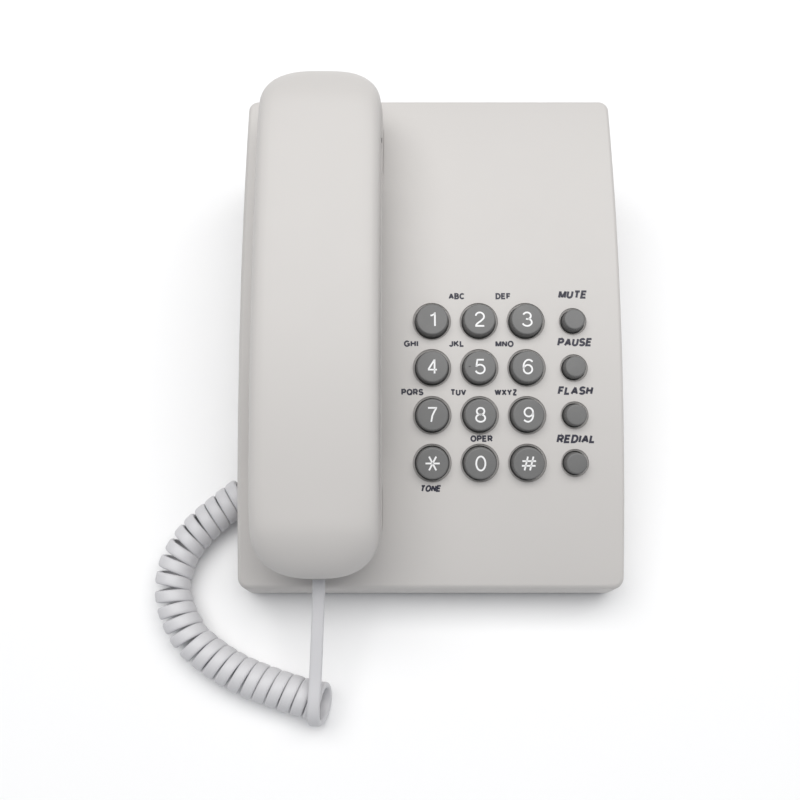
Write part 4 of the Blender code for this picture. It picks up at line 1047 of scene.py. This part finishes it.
def add_lower_cover():
    """Tray that closes the body from below, with a softened lower edge."""
    edge = 0.0010
    rings = [placed(PLAIN, plan_outline(TRAY_STEP + edge * out), TRAY_LOW + edge * (1 - up))
             for out, up in [(1 - q, 1 - p) for p, q in quarter(4)]]
    tray = loft("tray_moulding", rings + [placed(PLAIN, plan_outline(TRAY_STEP), RIM_HEIGHT - GAP)])
    lip = WALL + GAP
    inner = lip + 0.0018
    lip_heights = (TRAY_LOW + 0.001, RIM_HEIGHT + TRAY_LIP)
    join(tray, loft("tray_lip", [placed(PLAIN, plan_outline(lip), z) for z in lip_heights]))
    floor_top = TRAY_LOW + WALL
    tools = [loft("tray_pocket", [placed(PLAIN, plan_outline(inner), z) for z in (floor_top, 0.050)])]
    screws = [Matrix.Translation((place.x, place.y, 0)) for place in screw_places()]
    cut(tray, *tools)
    join(tray, rods("tray_bosses", BOSS_RADIUS + 0.0012, TRAY_LOW + 0.001, RIM_HEIGHT + 0.001, screws))
    tools = [rods("head_seats", SCREW_HEAD_RADIUS + GAP, -0.002, TRAY_LOW + 0.003, screws, 32),
             rods("screw_bores", SCREW_RADIUS + GAP, -0.002, 0.020, screws)]
    seats = []
    for corner in feet():
        low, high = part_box("foot_" + corner)
        matrix = Matrix.Translation(((low.x + high.x) / 2, (low.y + high.y) / 2, 0))
        radius = (high.x - low.x) / 2 + GAP
        seats.append(turned("foot_seat",
                            [(0, -0.001), (radius + 0.0006, -0.001), (radius + 0.0006, TRAY_LOW + 0.0001),
                             (radius, TRAY_LOW + 0.0006), (radius, high.z + GAP), (0, high.z + GAP)],
                            matrix))
    ringer = middle_of("ringer")
    slots = []
    for i in range(5):
        y = ringer.y + (i - 2) * 0.0040
        outline = rounded_rectangle(ringer.x - 0.009, ringer.x + 0.009, y - 0.0008, y + 0.0008, 0.00079, 6)
        slots.append(loft("slot", [placed(PLAIN, outline, z) for z in (-0.002, 0.010)]))
    plug = CORD_PLUG[0] / 2 + PLUG_CLEARANCE + SOCKET_WALL + GAP
    low = JACK_MIDDLE.z - CORD_PLUG[1] / 2 - PLUG_CLEARANCE - SOCKET_WALL - GAP
    clearance = rounded_box("jack_clearance", (-0.080, JACK_MIDDLE.y - plug, low),
                            (-0.060, JACK_MIDDLE.y + plug, 0.030), 0)
    cut(tray, *tools, *seats, joined("sound_slots", slots), clearance)
    dress(tray, "housing_plastic", "base", ["lower_cover"])


def add_feet():
    """Rubber feet with a rounded edge and a shallow dish that grips the table."""
    for corner in feet():
        low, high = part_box("foot_" + corner)
        radius = (high.x - low.x) / 2
        edge = 0.0005
        rim = [(radius - edge + edge * math.sin(t), low.z + edge - edge * math.cos(t))
               for t in (0, math.pi / 8, math.pi / 4, 3 * math.pi / 8, math.pi / 2)]
        profile = [(0, low.z + 0.0004), (radius * 0.55, low.z + 0.0004), (radius * 0.66, low.z), *rim,
                   (radius, high.z), (0, high.z)]
        matrix = Matrix.Translation(((low.x + high.x) / 2, (low.y + high.y) / 2, 0))
        foot = turned("foot_pad_" + corner, profile, matrix)
        dress(foot, "foot_rubber", "base", ["foot_" + corner])


def cross_recess(matrix, size, depth):
    """Cutter for the cross in a screw's head."""
    arms = []
    for turn in (0.0, math.pi / 2):
        arms.append(rounded_box("arm", (-size, -size * 0.24, -0.001), (size, size * 0.24, depth), 0.0,
                                matrix @ Matrix.Rotation(turn, 4, "Z")))
    return arms


def add_screw(name, matrix, length, head_radius, head_height, body, node):
    """Pan-head screw with a cross recess and a coarse thread."""
    edge = head_height * 0.45
    turn_points = [(head_radius - edge * (1 - math.sin(t)), edge * (1 - math.cos(t)))
                   for t in (0, math.pi / 6, math.pi / 3, math.pi / 2)]
    profile = [(0, 0), *turn_points, (head_radius, head_height)]
    core, crest, pitch = SCREW_RADIUS * 0.80, SCREW_RADIUS, 0.0010
    height = head_height
    profile += [(core, height)]
    while height + pitch < head_height + length - 0.0016:
        profile += [(core, height + 0.35 * pitch), (crest, height + 0.60 * pitch),
                    (core, height + 0.85 * pitch)]
        height += pitch
    profile += [(core, height + 0.0004), (core * 0.35, head_height + length), (0, head_height + length)]
    screw = turned(name, profile, matrix, 32)
    cut(screw, *cross_recess(matrix, head_radius * 0.58, head_height * 0.7))
    dress(screw, "plated_steel", body, [node])


def add_cover_screws():
    """The four screws of the body, head down in their seats."""
    for corner in feet():
        low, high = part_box("cover_screw_" + corner)
        matrix = Matrix.Translation(((low.x + high.x) / 2, (low.y + high.y) / 2, low.z))
        head = 0.0030 - 0.0008 - GAP
        add_screw("screw_" + corner, matrix, high.z - low.z - head, SCREW_HEAD_RADIUS, head, "base",
                  "cover_screw_" + corner)


# ---------------------------------------------------------------------------------------------
# Keys
# ---------------------------------------------------------------------------------------------

def add_key(body, matrix, radius):
    """Round key with a rolled upper edge, over the flange that the cover holds down."""
    flange_top = -WALL - GAP
    flange_low = flange_top - KEY_FLANGE_THICKNESS
    top = radius - KEY_TAPER
    roll = [(top - KEY_EDGE * a, KEY_HEIGHT - KEY_EDGE * (1 - b)) for a, b in quarter(6)]
    profile = [(0, -KEY_BOTTOM), (KEY_STEM_RADIUS, -KEY_BOTTOM), (KEY_STEM_RADIUS, flange_low),
               (radius + KEY_FLANGE, flange_low), (radius + KEY_FLANGE, flange_top), (radius, flange_top),
               *roll, ((top - KEY_EDGE) * 0.5, KEY_HEIGHT + 0.00004), (0, KEY_HEIGHT + 0.00005)]
    cap = turned("keytop_" + body[4:], profile, matrix)
    dress(cap, "key_plastic", body, [body])


def add_locating_dot():
    """Raised dot that the middle finger finds on the middle key."""
    matrix, _ = KEYS["key_5"]
    side = matrix @ Matrix.Translation((-0.0041, 0.0002, KEY_HEIGHT))
    profile = [(0, -0.0001), (0.00038, -0.0001), (0.00036, 0.0001), (0.00024, 0.00030), (0, 0.00038)]
    dress(turned("locating_dot", profile, side, 24), "key_plastic", "key_5")


# ---------------------------------------------------------------------------------------------
# Lettering: strokes of even width, drawn in a box one high
# ---------------------------------------------------------------------------------------------

def arc(x, y, across, up, start, end):
    """Points along part of an ellipse, between two angles in degrees."""
    steps = max(4, round(abs(end - start) / 12))
    turns = [math.radians(start + (end - start) * i / steps) for i in range(steps + 1)]
    return [(x + across * math.cos(turn), y + up * math.sin(turn)) for turn in turns]


def ring_stroke(x, y, across, up):
    """Closed ellipse."""
    return arc(x, y, across, up, 90, 450)


BOWL_P = [(0, 1), (0.33, 1), *arc(0.33, 0.73, 0.25, 0.27, 90, -90), (0, 0.46)]
STROKES = {
    "0": [ring_stroke(0.29, 0.5, 0.29, 0.5)],
    "1": [[(0.0, 0.76), (0.13, 0.79), (0.24, 0.87), (0.29, 0.97)], [(0.29, 1.0), (0.29, 0.0)]],
    "2": [[*arc(0.30, 0.70, 0.29, 0.30, 170, -30), (0.36, 0.36), (0.12, 0.18), (0.02, 0.03)],
          [(-0.02, 0.0), (0.60, 0.0)]],
    "3": [[*arc(0.29, 0.75, 0.25, 0.25, 160, -80), (0.22, 0.52)], arc(0.29, 0.27, 0.30, 0.27, 80, -162)],
    "4": [[(0.45, 0.0), (0.45, 1.02)], [(0.45, 1.0), (0.01, 0.31)], [(-0.03, 0.28), (0.62, 0.28)]],
    "5": [[(0.55, 1.0), (0.10, 1.0)], [(0.13, 1.0), (0.06, 0.48)],
          [(0.06, 0.50), *arc(0.30, 0.32, 0.30, 0.32, 135, -158)]],
    "6": [ring_stroke(0.30, 0.31, 0.29, 0.31), arc(0.36, 0.50, 0.36, 0.50, 45, 200)],
    "7": [[(0.0, 1.0), (0.62, 1.0)], [(0.58, 1.0), (0.42, 0.72), (0.29, 0.42), (0.22, 0.0)]],
    "8": [ring_stroke(0.30, 0.755, 0.25, 0.245), ring_stroke(0.30, 0.265, 0.30, 0.265)],
    "9": [ring_stroke(0.30, 0.69, 0.29, 0.31), arc(0.24, 0.50, 0.36, 0.50, 225, 380)],
    "*": [[(0.0, 0.5), (1.0, 0.5)], [(0.25, 0.0), (0.75, 1.0)], [(0.25, 1.0), (0.75, 0.0)]],
    "#": [[(0.18, 0.0), (0.42, 1.0)], [(0.56, 0.0), (0.80, 1.0)], [(0.04, 0.67), (0.98, 0.67)],
          [(0.0, 0.33), (0.94, 0.33)]],
    "A": [[(0.0, 0.0), (0.35, 1.0)], [(0.35, 1.0), (0.70, 0.0)], [(0.12, 0.30), (0.58, 0.30)]],
    "B": [[(0, 0.53), (0, 1), *arc(0.30, 0.765, 0.22, 0.235, 90, -90), (0, 0.53)],
          [(0, 0.53), *arc(0.33, 0.265, 0.25, 0.265, 90, -90), (0, 0), (0, 0.55)]],
    "C": [arc(0.36, 0.5, 0.36, 0.5, 42, 318)],
    "D": [[(0, 0.5), (0, 1), *arc(0.25, 0.5, 0.38, 0.5, 90, -90), (0, 0), (0, 0.52)]],
    "E": [[(0.55, 1), (0, 1), (0, 0), (0.57, 0)], [(0, 0.52), (0.50, 0.52)]],
    "F": [[(0.53, 1), (0, 1), (0, 0)], [(0, 0.50), (0.46, 0.50)]],
    "G": [[*arc(0.36, 0.5, 0.36, 0.5, 44, 315), (0.68, 0.18), (0.68, 0.46), (0.40, 0.46)]],
    "H": [[(0, 0), (0, 1)], [(0.6, 0), (0.6, 1)], [(0, 0.52), (0.6, 0.52)]],
    "I": [[(0, 0), (0, 1)]],
    "J": [[(0.42, 1), (0.42, 0.30), *arc(0.21, 0.24, 0.21, 0.24, -10, -175)]],
    "K": [[(0, 0), (0, 1)], [(0.58, 1), (0.02, 0.40)], [(0.20, 0.58), (0.62, 0)]],
    "L": [[(0, 1), (0, 0), (0.50, 0)]],
    "M": [[(0, 0), (0, 1)], [(0.02, 1), (0.38, 0.04)], [(0.38, 0.04), (0.74, 1)], [(0.76, 1), (0.76, 0)]],
    "N": [[(0, 0), (0, 1)], [(0.02, 0.98), (0.60, 0.02)], [(0.62, 0), (0.62, 1)]],
    "O": [ring_stroke(0.38, 0.5, 0.38, 0.5)],
    "P": [[(0, 0), *BOWL_P]],
    "Q": [ring_stroke(0.38, 0.5, 0.38, 0.5), [(0.46, 0.28), (0.76, -0.02)]],
    "R": [[(0, 0), *BOWL_P], [(0.32, 0.46), (0.60, 0)]],
    "S": [[*arc(0.30, 0.75, 0.28, 0.25, 20, 260), *arc(0.31, 0.25, 0.30, 0.25, 80, -160)]],
    "T": [[(0, 1), (0.64, 1)], [(0.32, 1), (0.32, 0)]],
    "U": [[(0, 1), (0, 0.30), *arc(0.29, 0.29, 0.29, 0.29, 190, 350), (0.58, 0.30), (0.58, 1)]],
    "V": [[(0, 1), (0.33, 0)], [(0.33, 0), (0.66, 1)]],
    "W": [[(0, 1), (0.25, 0)], [(0.25, 0), (0.48, 1)], [(0.48, 1), (0.71, 0)], [(0.71, 0), (0.96, 1)]],
    "X": [[(0, 0), (0.62, 1)], [(0, 1), (0.62, 0)]],
    "Y": [[(0, 1), (0.33, 0.45), (0.66, 1)], [(0.33, 0.47), (0.33, 0)]],
    "Z": [[(0.02, 1), (0.60, 1)], [(0.56, 0.98), (0.02, 0.02)], [(0, 0), (0.60, 0)]],
}


def stroke_sides(line, half):
    """Left and right edge of a stroke, with mitred corners."""
    closed = (Vector(line[0]) - Vector(line[-1])).length < 1e-6
    left, right = [], []
    points = [Vector(p) for p in line]
    last = len(points) - 1
    for i, point in enumerate(points):
        before = points[i - 1] if i else (points[last - 1] if closed else None)
        after = points[i + 1] if i < last else (points[1] if closed else None)
        into = (point - before).normalized() if before is not None else (after - point).normalized()
        onward = (after - point).normalized() if after is not None else into
        normal = Vector((-into.y - onward.y, into.x + onward.x))
        normal = normal.normalized() if normal.length > 1e-6 else Vector((-into.y, into.x))
        reach = half / max(0.45, abs(normal.dot(Vector((-into.y, into.x)))))
        left.append(point + normal * reach)
        right.append(point - normal * reach)
    return left, right


def lettering(name, text, height, width, stroke, matrix, body, finish, slant=0.0, relief=0.00003):
    """A word or a sign as thin raised strokes, centred on the matrix, as high and wide as asked."""
    lines, at = [], 0.0
    for letter in text:
        glyph = STROKES[letter]
        lines += [[(x + at, y) for x, y in line] for line in glyph]
        at += max(x for line in glyph for x, _ in line) + 0.34
    high = height - stroke
    wide = width - stroke - slant * high
    most, least = (pick(x for line in lines for x, _ in line) for pick in (max, min))
    across = wide / (most - least) if most > least else 0.0
    form = bmesh.new()
    for line in lines:
        shaped = [((x - (most + least) / 2) * across + (y - 0.5) * high * slant, (y - 0.5) * high)
                  for x, y in line]
        left, right = stroke_sides(shaped, stroke / 2)
        raised = [[form.verts.new((p.x, p.y, relief)) for p in side] for side in (left, right)]
        sunk = [[form.verts.new((p.x, p.y, -relief)) for p in side] for side in (left, right)]
        for i in range(len(shaped) - 1):
            form.faces.new((raised[0][i], raised[1][i], raised[1][i + 1], raised[0][i + 1]))
            form.faces.new((sunk[0][i + 1], sunk[1][i + 1], sunk[1][i], sunk[0][i]))
            form.faces.new((raised[0][i + 1], sunk[0][i + 1], sunk[0][i], raised[0][i]))
            form.faces.new((raised[1][i], sunk[1][i], sunk[1][i + 1], raised[1][i + 1]))
        for i in (0, -1):
            form.faces.new((raised[0][i], sunk[0][i], sunk[1][i], raised[1][i]))
    word = from_bmesh(name, form, matrix)
    return dress(word, finish, body)


def add_legends():
    """White digit or sign on top of each of the twelve dialling keys."""
    signs = {"star": ("*", 0.0060, 0.0062), "hash": ("#", 0.0060, 0.0062), "1": ("1", 0.0062, 0.0024)}
    for body, (matrix, radius) in KEYS.items():
        name = body[4:]
        if radius < KEY_RADIUS:
            continue
        text, height, width = signs.get(name, (name, 0.0061, 0.0042))
        top = matrix @ Matrix.Translation((0.0002 if name == "1" else 0.0, 0, KEY_HEIGHT + 0.00006))
        lettering("legend_" + name, text, height, width, LEGEND_STROKE, top, body, "legend_ink")


def add_label(key, text, offset, width, type_size, slant):
    """Word printed on the face, placed from the key that it belongs to."""
    matrix, _ = KEYS[key]
    place = face_frame(matrix[0][3] + offset[0], key_along(key) + offset[1], 0.00003)
    height, stroke = type_size
    lettering("label_" + text.lower(), text, height, width, stroke, place, "base", "label_ink",
              slant)


def add_labels():
    """Upright letter groups, and the functions' names in slanted letters."""
    for label in LETTER_GROUPS:
        add_label(*label, GROUP_TYPE, 0.0)
    for label in FUNCTION_NAMES:
        add_label(*label, TONE_TYPE if label[1] == "TONE" else FUNCTION_TYPE, SLANT)


# ---------------------------------------------------------------------------------------------
# Handset
# ---------------------------------------------------------------------------------------------

def stations(inset):
    """Distances along the handset, closer together where its ends come round."""
    front, rear = HANDSET_FRONT + inset, HANDSET_REAR - inset
    end = PLAN_END
    near = []
    for i in range(22):
        turn = math.radians(2.5 + 87.5 * (i / 21) ** 1.15)
        near.append(end * (1 - ray(turn, PLAN_POWER) * math.cos(turn)))
    steps = 70
    middle = [front + end + (rear - front - 2 * end) * i / steps for i in range(1, steps)]
    return [front + d for d in near] + middle + [rear - d for d in reversed(near)]


def ray(turn, power):
    """Distance from the middle of a unit superellipse to its edge, at an angle."""
    return (abs(math.cos(turn)) ** power + abs(math.sin(turn)) ** power) ** (-1 / power)


def rounded_rise(distance, reach, power):
    """Share of the full size at a distance from the end of a superellipse that is `reach` long."""
    share = max(0.0, 1 - distance / reach)
    return (1 - share**power) ** (1 / power)


def half_width(along, inset):
    """Half of the handset's width at a distance along it."""
    distance = min(along - HANDSET_FRONT, HANDSET_REAR - along) - inset
    return (HANDSET_WIDTH / 2 - inset) * rounded_rise(max(distance, 1e-5), PLAN_END, PLAN_POWER)


def back_rise(along, inset):
    """Height of the handset's crown over its parting line."""
    distance = min(along - HANDSET_FRONT, HANDSET_REAR - along) - inset
    full = HANDSET_TOP - PARTING_HEIGHT - inset
    return full * rounded_rise(max(distance, 1e-5), CROWN_END, CROWN_END_POWER)


def front_drop(along, inset):
    """Depth of the handset's front under its parting line: shallow at the grip, deep at its ends."""
    distance = min(along - HANDSET_FRONT, HANDSET_REAR - along) - inset
    grip = PARTING_HEIGHT - GRIP_UNDERSIDE
    deep = PARTING_HEIGHT - CAP_UNDERSIDE
    slope = 0.0140
    from_mouth = (along - (MOUTH_ALONG + MOUTH_LENGTH / 2 - 0.0050)) / slope
    from_ear = ((EAR_ALONG - EAR_LENGTH / 2 + 0.0050) - along) / slope
    at_cap = 1 - min(smoothstep(from_mouth), smoothstep(from_ear))
    full = grip + (deep - grip) * at_cap - inset
    return full * rounded_rise(max(distance, 1e-5), CAP_END, CAP_END_POWER), at_cap


def dish(x, along):
    """Depth of the shallow dish in the ear end."""
    distance = math.hypot(x, along - EAR_ALONG) / DISH_RADIUS
    return DISH_DEPTH * (1 - smoothstep((distance - 0.35) / 0.65)) if distance < 1 else 0.0


def back_section(along, inset, steps=34):
    """Arch of the handset's back at one station, from its left edge over the crown to its right edge."""
    half, rise = half_width(along, inset), back_rise(along, inset)
    from_end = min(along - HANDSET_FRONT, HANDSET_REAR - along)
    power = CROWN_POWER_AT_END + (CROWN_POWER - CROWN_POWER_AT_END) * smoothstep(from_end / CROWN_BLEND)
    edge = min(PARTING_EDGE, half * 0.3, rise * 0.3) if inset == 0 else 0.0
    low = PARTING_HEIGHT if inset == 0 else PARTING_HEIGHT - 0.002
    points = [(-half + edge, low)]
    for i in range(steps + 1):
        turn = math.pi * (1 - i / steps)
        reach = ray(turn, power)
        up = PARTING_HEIGHT + edge + (rise - edge) * reach * math.sin(turn)
        points.append((half * reach * math.cos(turn), up))
    points.append((half - edge, low))
    return [face_point(HANDSET_X + x, along, height) for x, height in points]


def front_section(along, inset, steps=40):
    """Trough of the handset's front at one station, from its left edge under to its right edge."""
    half = half_width(along, inset)
    drop, at_cap = front_drop(along, inset)
    power = GRIP_POWER + (CAP_POWER - GRIP_POWER) * at_cap
    outer = inset <= 0
    edge = min(PARTING_EDGE, half * 0.3, drop * 0.3) if outer else 0.0
    top = PARTING_HEIGHT - GAP if outer else PARTING_HEIGHT + 0.002
    points = [(-half + edge, top)]
    for i in range(steps + 1):
        turn = math.pi * (1 - i / steps)
        reach = ray(turn, power)
        x = half * reach * math.cos(turn)
        down = PARTING_HEIGHT - GAP - edge - (drop - GAP - edge) * reach * math.sin(turn)
        points.append((x, down + dish(x, along) * (1 if outer else 0.5)))
    points.append((half - edge, top))
    return [face_point(HANDSET_X + x, along, height) for x, height in points]


def handset_screw_frames():
    """Frames over the face of the two screws that hold the handset's shells together."""
    return {name: face_frame(HANDSET_X, along_of(middle_of("handset_screw_" + name)))
            for name in ("front", "rear")}


def along_of(point):
    """Distance along the face of a point in space."""
    return (FRONT_TILT - math.atan2(ARC_Y - point.y, point.z - ARC_Z)) * FACE_RADIUS


def add_handset_back():
    """The side of the handset that faces up at rest."""
    shell = loft("handset_back", [back_section(along, 0.0) for along in stations(0.0)])
    hollow = loft("back_hollow", [back_section(along, SHELL_WALL) for along in stations(SHELL_WALL)])
    cut(shell, hollow)
    screws = list(handset_screw_frames().values())
    boss_low = GRIP_UNDERSIDE + SHELL_WALL + GAP
    join(shell, rods("back_bosses", 0.0032, boss_low, HANDSET_TOP - SHELL_WALL * 0.5, screws))
    cut(shell, rods("back_pilots", SCREW_RADIUS + GAP, 0.0, HANDSET_TOP - 0.0055, screws))
    dress(shell, "housing_plastic", "handset", ["handset_back_shell"])


def add_handset_front():
    """The side of the handset that is held to the head, with its ear and mouth ends."""
    shell = loft("handset_front", [front_section(along, -PARTING_LIP) for along in stations(-PARTING_LIP)])
    hollow = loft("front_hollow", [front_section(along, SHELL_WALL) for along in stations(SHELL_WALL)])
    screws = list(handset_screw_frames().values())
    seats = rods("front_head_seats", SCREW_HEAD_RADIUS - GAP, 0.0, GRIP_UNDERSIDE + 0.0012, screws, 32)
    bores = rods("front_bores", SCREW_RADIUS + GAP, 0.0, GRIP_UNDERSIDE + 0.006, screws)
    holes = [EAR_FRAME]
    for count, spread in ((6, 0.0042), (12, 0.0082)):
        for i in range(count):
            turn = Matrix.Rotation(2 * math.pi * i / count, 4, "Z")
            holes.append(EAR_FRAME @ turn @ Matrix.Translation((spread, 0, 0)))
    holes.append(MOUTH_FRAME @ Matrix.Translation((0, MIC_ALONG, 0)))
    half_x, half_z = CORD_PLUG[0] / 2 + PLUG_CLEARANCE, CORD_PLUG[1] / 2 + PLUG_CLEARANCE
    jack = lipped_hole("handset_jack_hole", -half_x, half_x, half_z, HOLE_CORNER, -0.0060, 0.001,
                       HANDSET_JACK_FRAME)
    cut(shell, hollow, seats, bores, rods("sound_holes", 0.0009, -0.012, 0.004, holes, 20), jack)
    dress(shell, "housing_plastic", "handset", ["handset_front_shell"])


def add_handset_screws():
    """The two screws in the grip's underside."""
    head = 0.0012 - GAP - 0.0001
    for name, matrix in handset_screw_frames().items():
        seat = matrix @ Matrix.Translation((0, 0, GRIP_UNDERSIDE + 0.0001))
        add_screw("handset_screw_pan_" + name, seat, 0.0110, SCREW_HEAD_RADIUS - 2 * GAP, head, "handset",
                  "handset_screw_" + name)


# ---------------------------------------------------------------------------------------------
# Small moving pieces, sockets and what is inside
# ---------------------------------------------------------------------------------------------

def add_hook_plunger():
    """Plunger with a crowned top that stands in the ear well."""
    width, length = HOOK_SIZE
    flange_top = -0.0088 - HOOK_TRAVEL
    flange_low = flange_top - 0.0015
    top = CAP_UNDERSIDE - GAP
    wide = oblong(width + 0.003, length + 0.003, 0.0015)
    rings = [placed(HOOK_FRAME, wide, flange_low), placed(HOOK_FRAME, wide, flange_top)]
    rings.append(placed(HOOK_FRAME, oblong(width, length, 0.0013), flange_top + 0.00001))
    edge = 0.0006
    for a, b in quarter(5):
        rings.append(placed(HOOK_FRAME, oblong(width - 2 * edge * a, length - 2 * edge * a, 0.0013 - edge * a),
                            top - edge * (1 - b)))
    plunger = loft("plunger_button", rings)
    dress(plunger, "key_plastic", "hook_plunger", ["hook_plunger"])


def add_switch_knobs():
    """Ribbed sliding knobs."""
    half_x, half_z = KNOB_SIZE[0] / 2, KNOB_SIZE[1] / 2
    for name, matrix, _, _ in switch_frames():
        knob = rounded_box(name + "_slider", (-half_x, GAP, -half_z), (half_x, WALL + 0.0006, half_z),
                           0.0003, matrix)
        grooves = []
        for i in range(4):
            x = (i - 1.5) * 0.0011
            grooves.append(rounded_box("groove", (x - 0.00028, -0.001, -half_z - 0.001),
                                       (x + 0.00028, GAP + 0.0004, half_z + 0.001), 0, matrix))
        cut(knob, joined("grooves", grooves))
        dress(knob, "key_plastic", name + "_knob", [name + "_knob"], sharp=25)


def finish_packed_nodes():
    """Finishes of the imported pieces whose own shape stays."""
    finishes = {
        "black_nylon": ["line_jack", "base_cord_jack", "handset_jack", "ringer_switch_body", "mode_switch_body",
                        "hook_contact"],
        "board_laminate": ["main_board", "hook_board"],
        "mat_rubber": ["keypad_mat"],
        "plated_steel": ["ballast_plate", "hook_spring", "handset_weight"],
        "capsule_metal": ["receiver", "microphone", "ringer"],
    }
    for finish, names in finishes.items():
        for name in names:
            item = frame["nodes"][name]
            item.data.materials.clear()
            item.data.materials.append(FINISHES[finish])


def add_line_contacts():
    """Slanting gold wires in the line socket."""
    depth = LINE_SOCKET[2]
    place = Matrix.Translation((0, depth * 0.35, LINE_SOCKET[1] / 2 - 0.0008))
    tilt = place @ Matrix.Rotation(math.radians(-18), 4, "X")
    contacts("line_jack_wires", LINE_JACK_FRAME @ tilt, "base", 0.0076, 4, (0.0, -0.00015), (0.0078, 0.00015))


def main():
    """The studio and every piece, the lead first."""
    make_finishes()
    add_camera()
    ribbon, exit_point, points = add_cord()
    plugs = []
    plugs += modular_plug("base_plug", BASE_JACK_FRAME @ Matrix.Translation((0, -WALL, 0)), "base",
                          "base_cord_plug")
    plugs += modular_plug("handset_plug", HANDSET_JACK_FRAME @ Matrix.Translation((0, -SHELL_WALL, 0)),
                          "handset", "handset_cord_plug")
    add_studio()
    add_upper_cover()
    add_lower_cover()
    add_feet()
    add_cover_screws()
    for body, (matrix, radius) in KEYS.items():
        add_key(body, matrix, radius)
    add_locating_dot()
    add_legends()
    add_labels()
    add_handset_back()
    add_handset_front()
    add_handset_screws()
    add_hook_plunger()
    add_switch_knobs()
    add_line_contacts()
    finish_packed_nodes()


main()
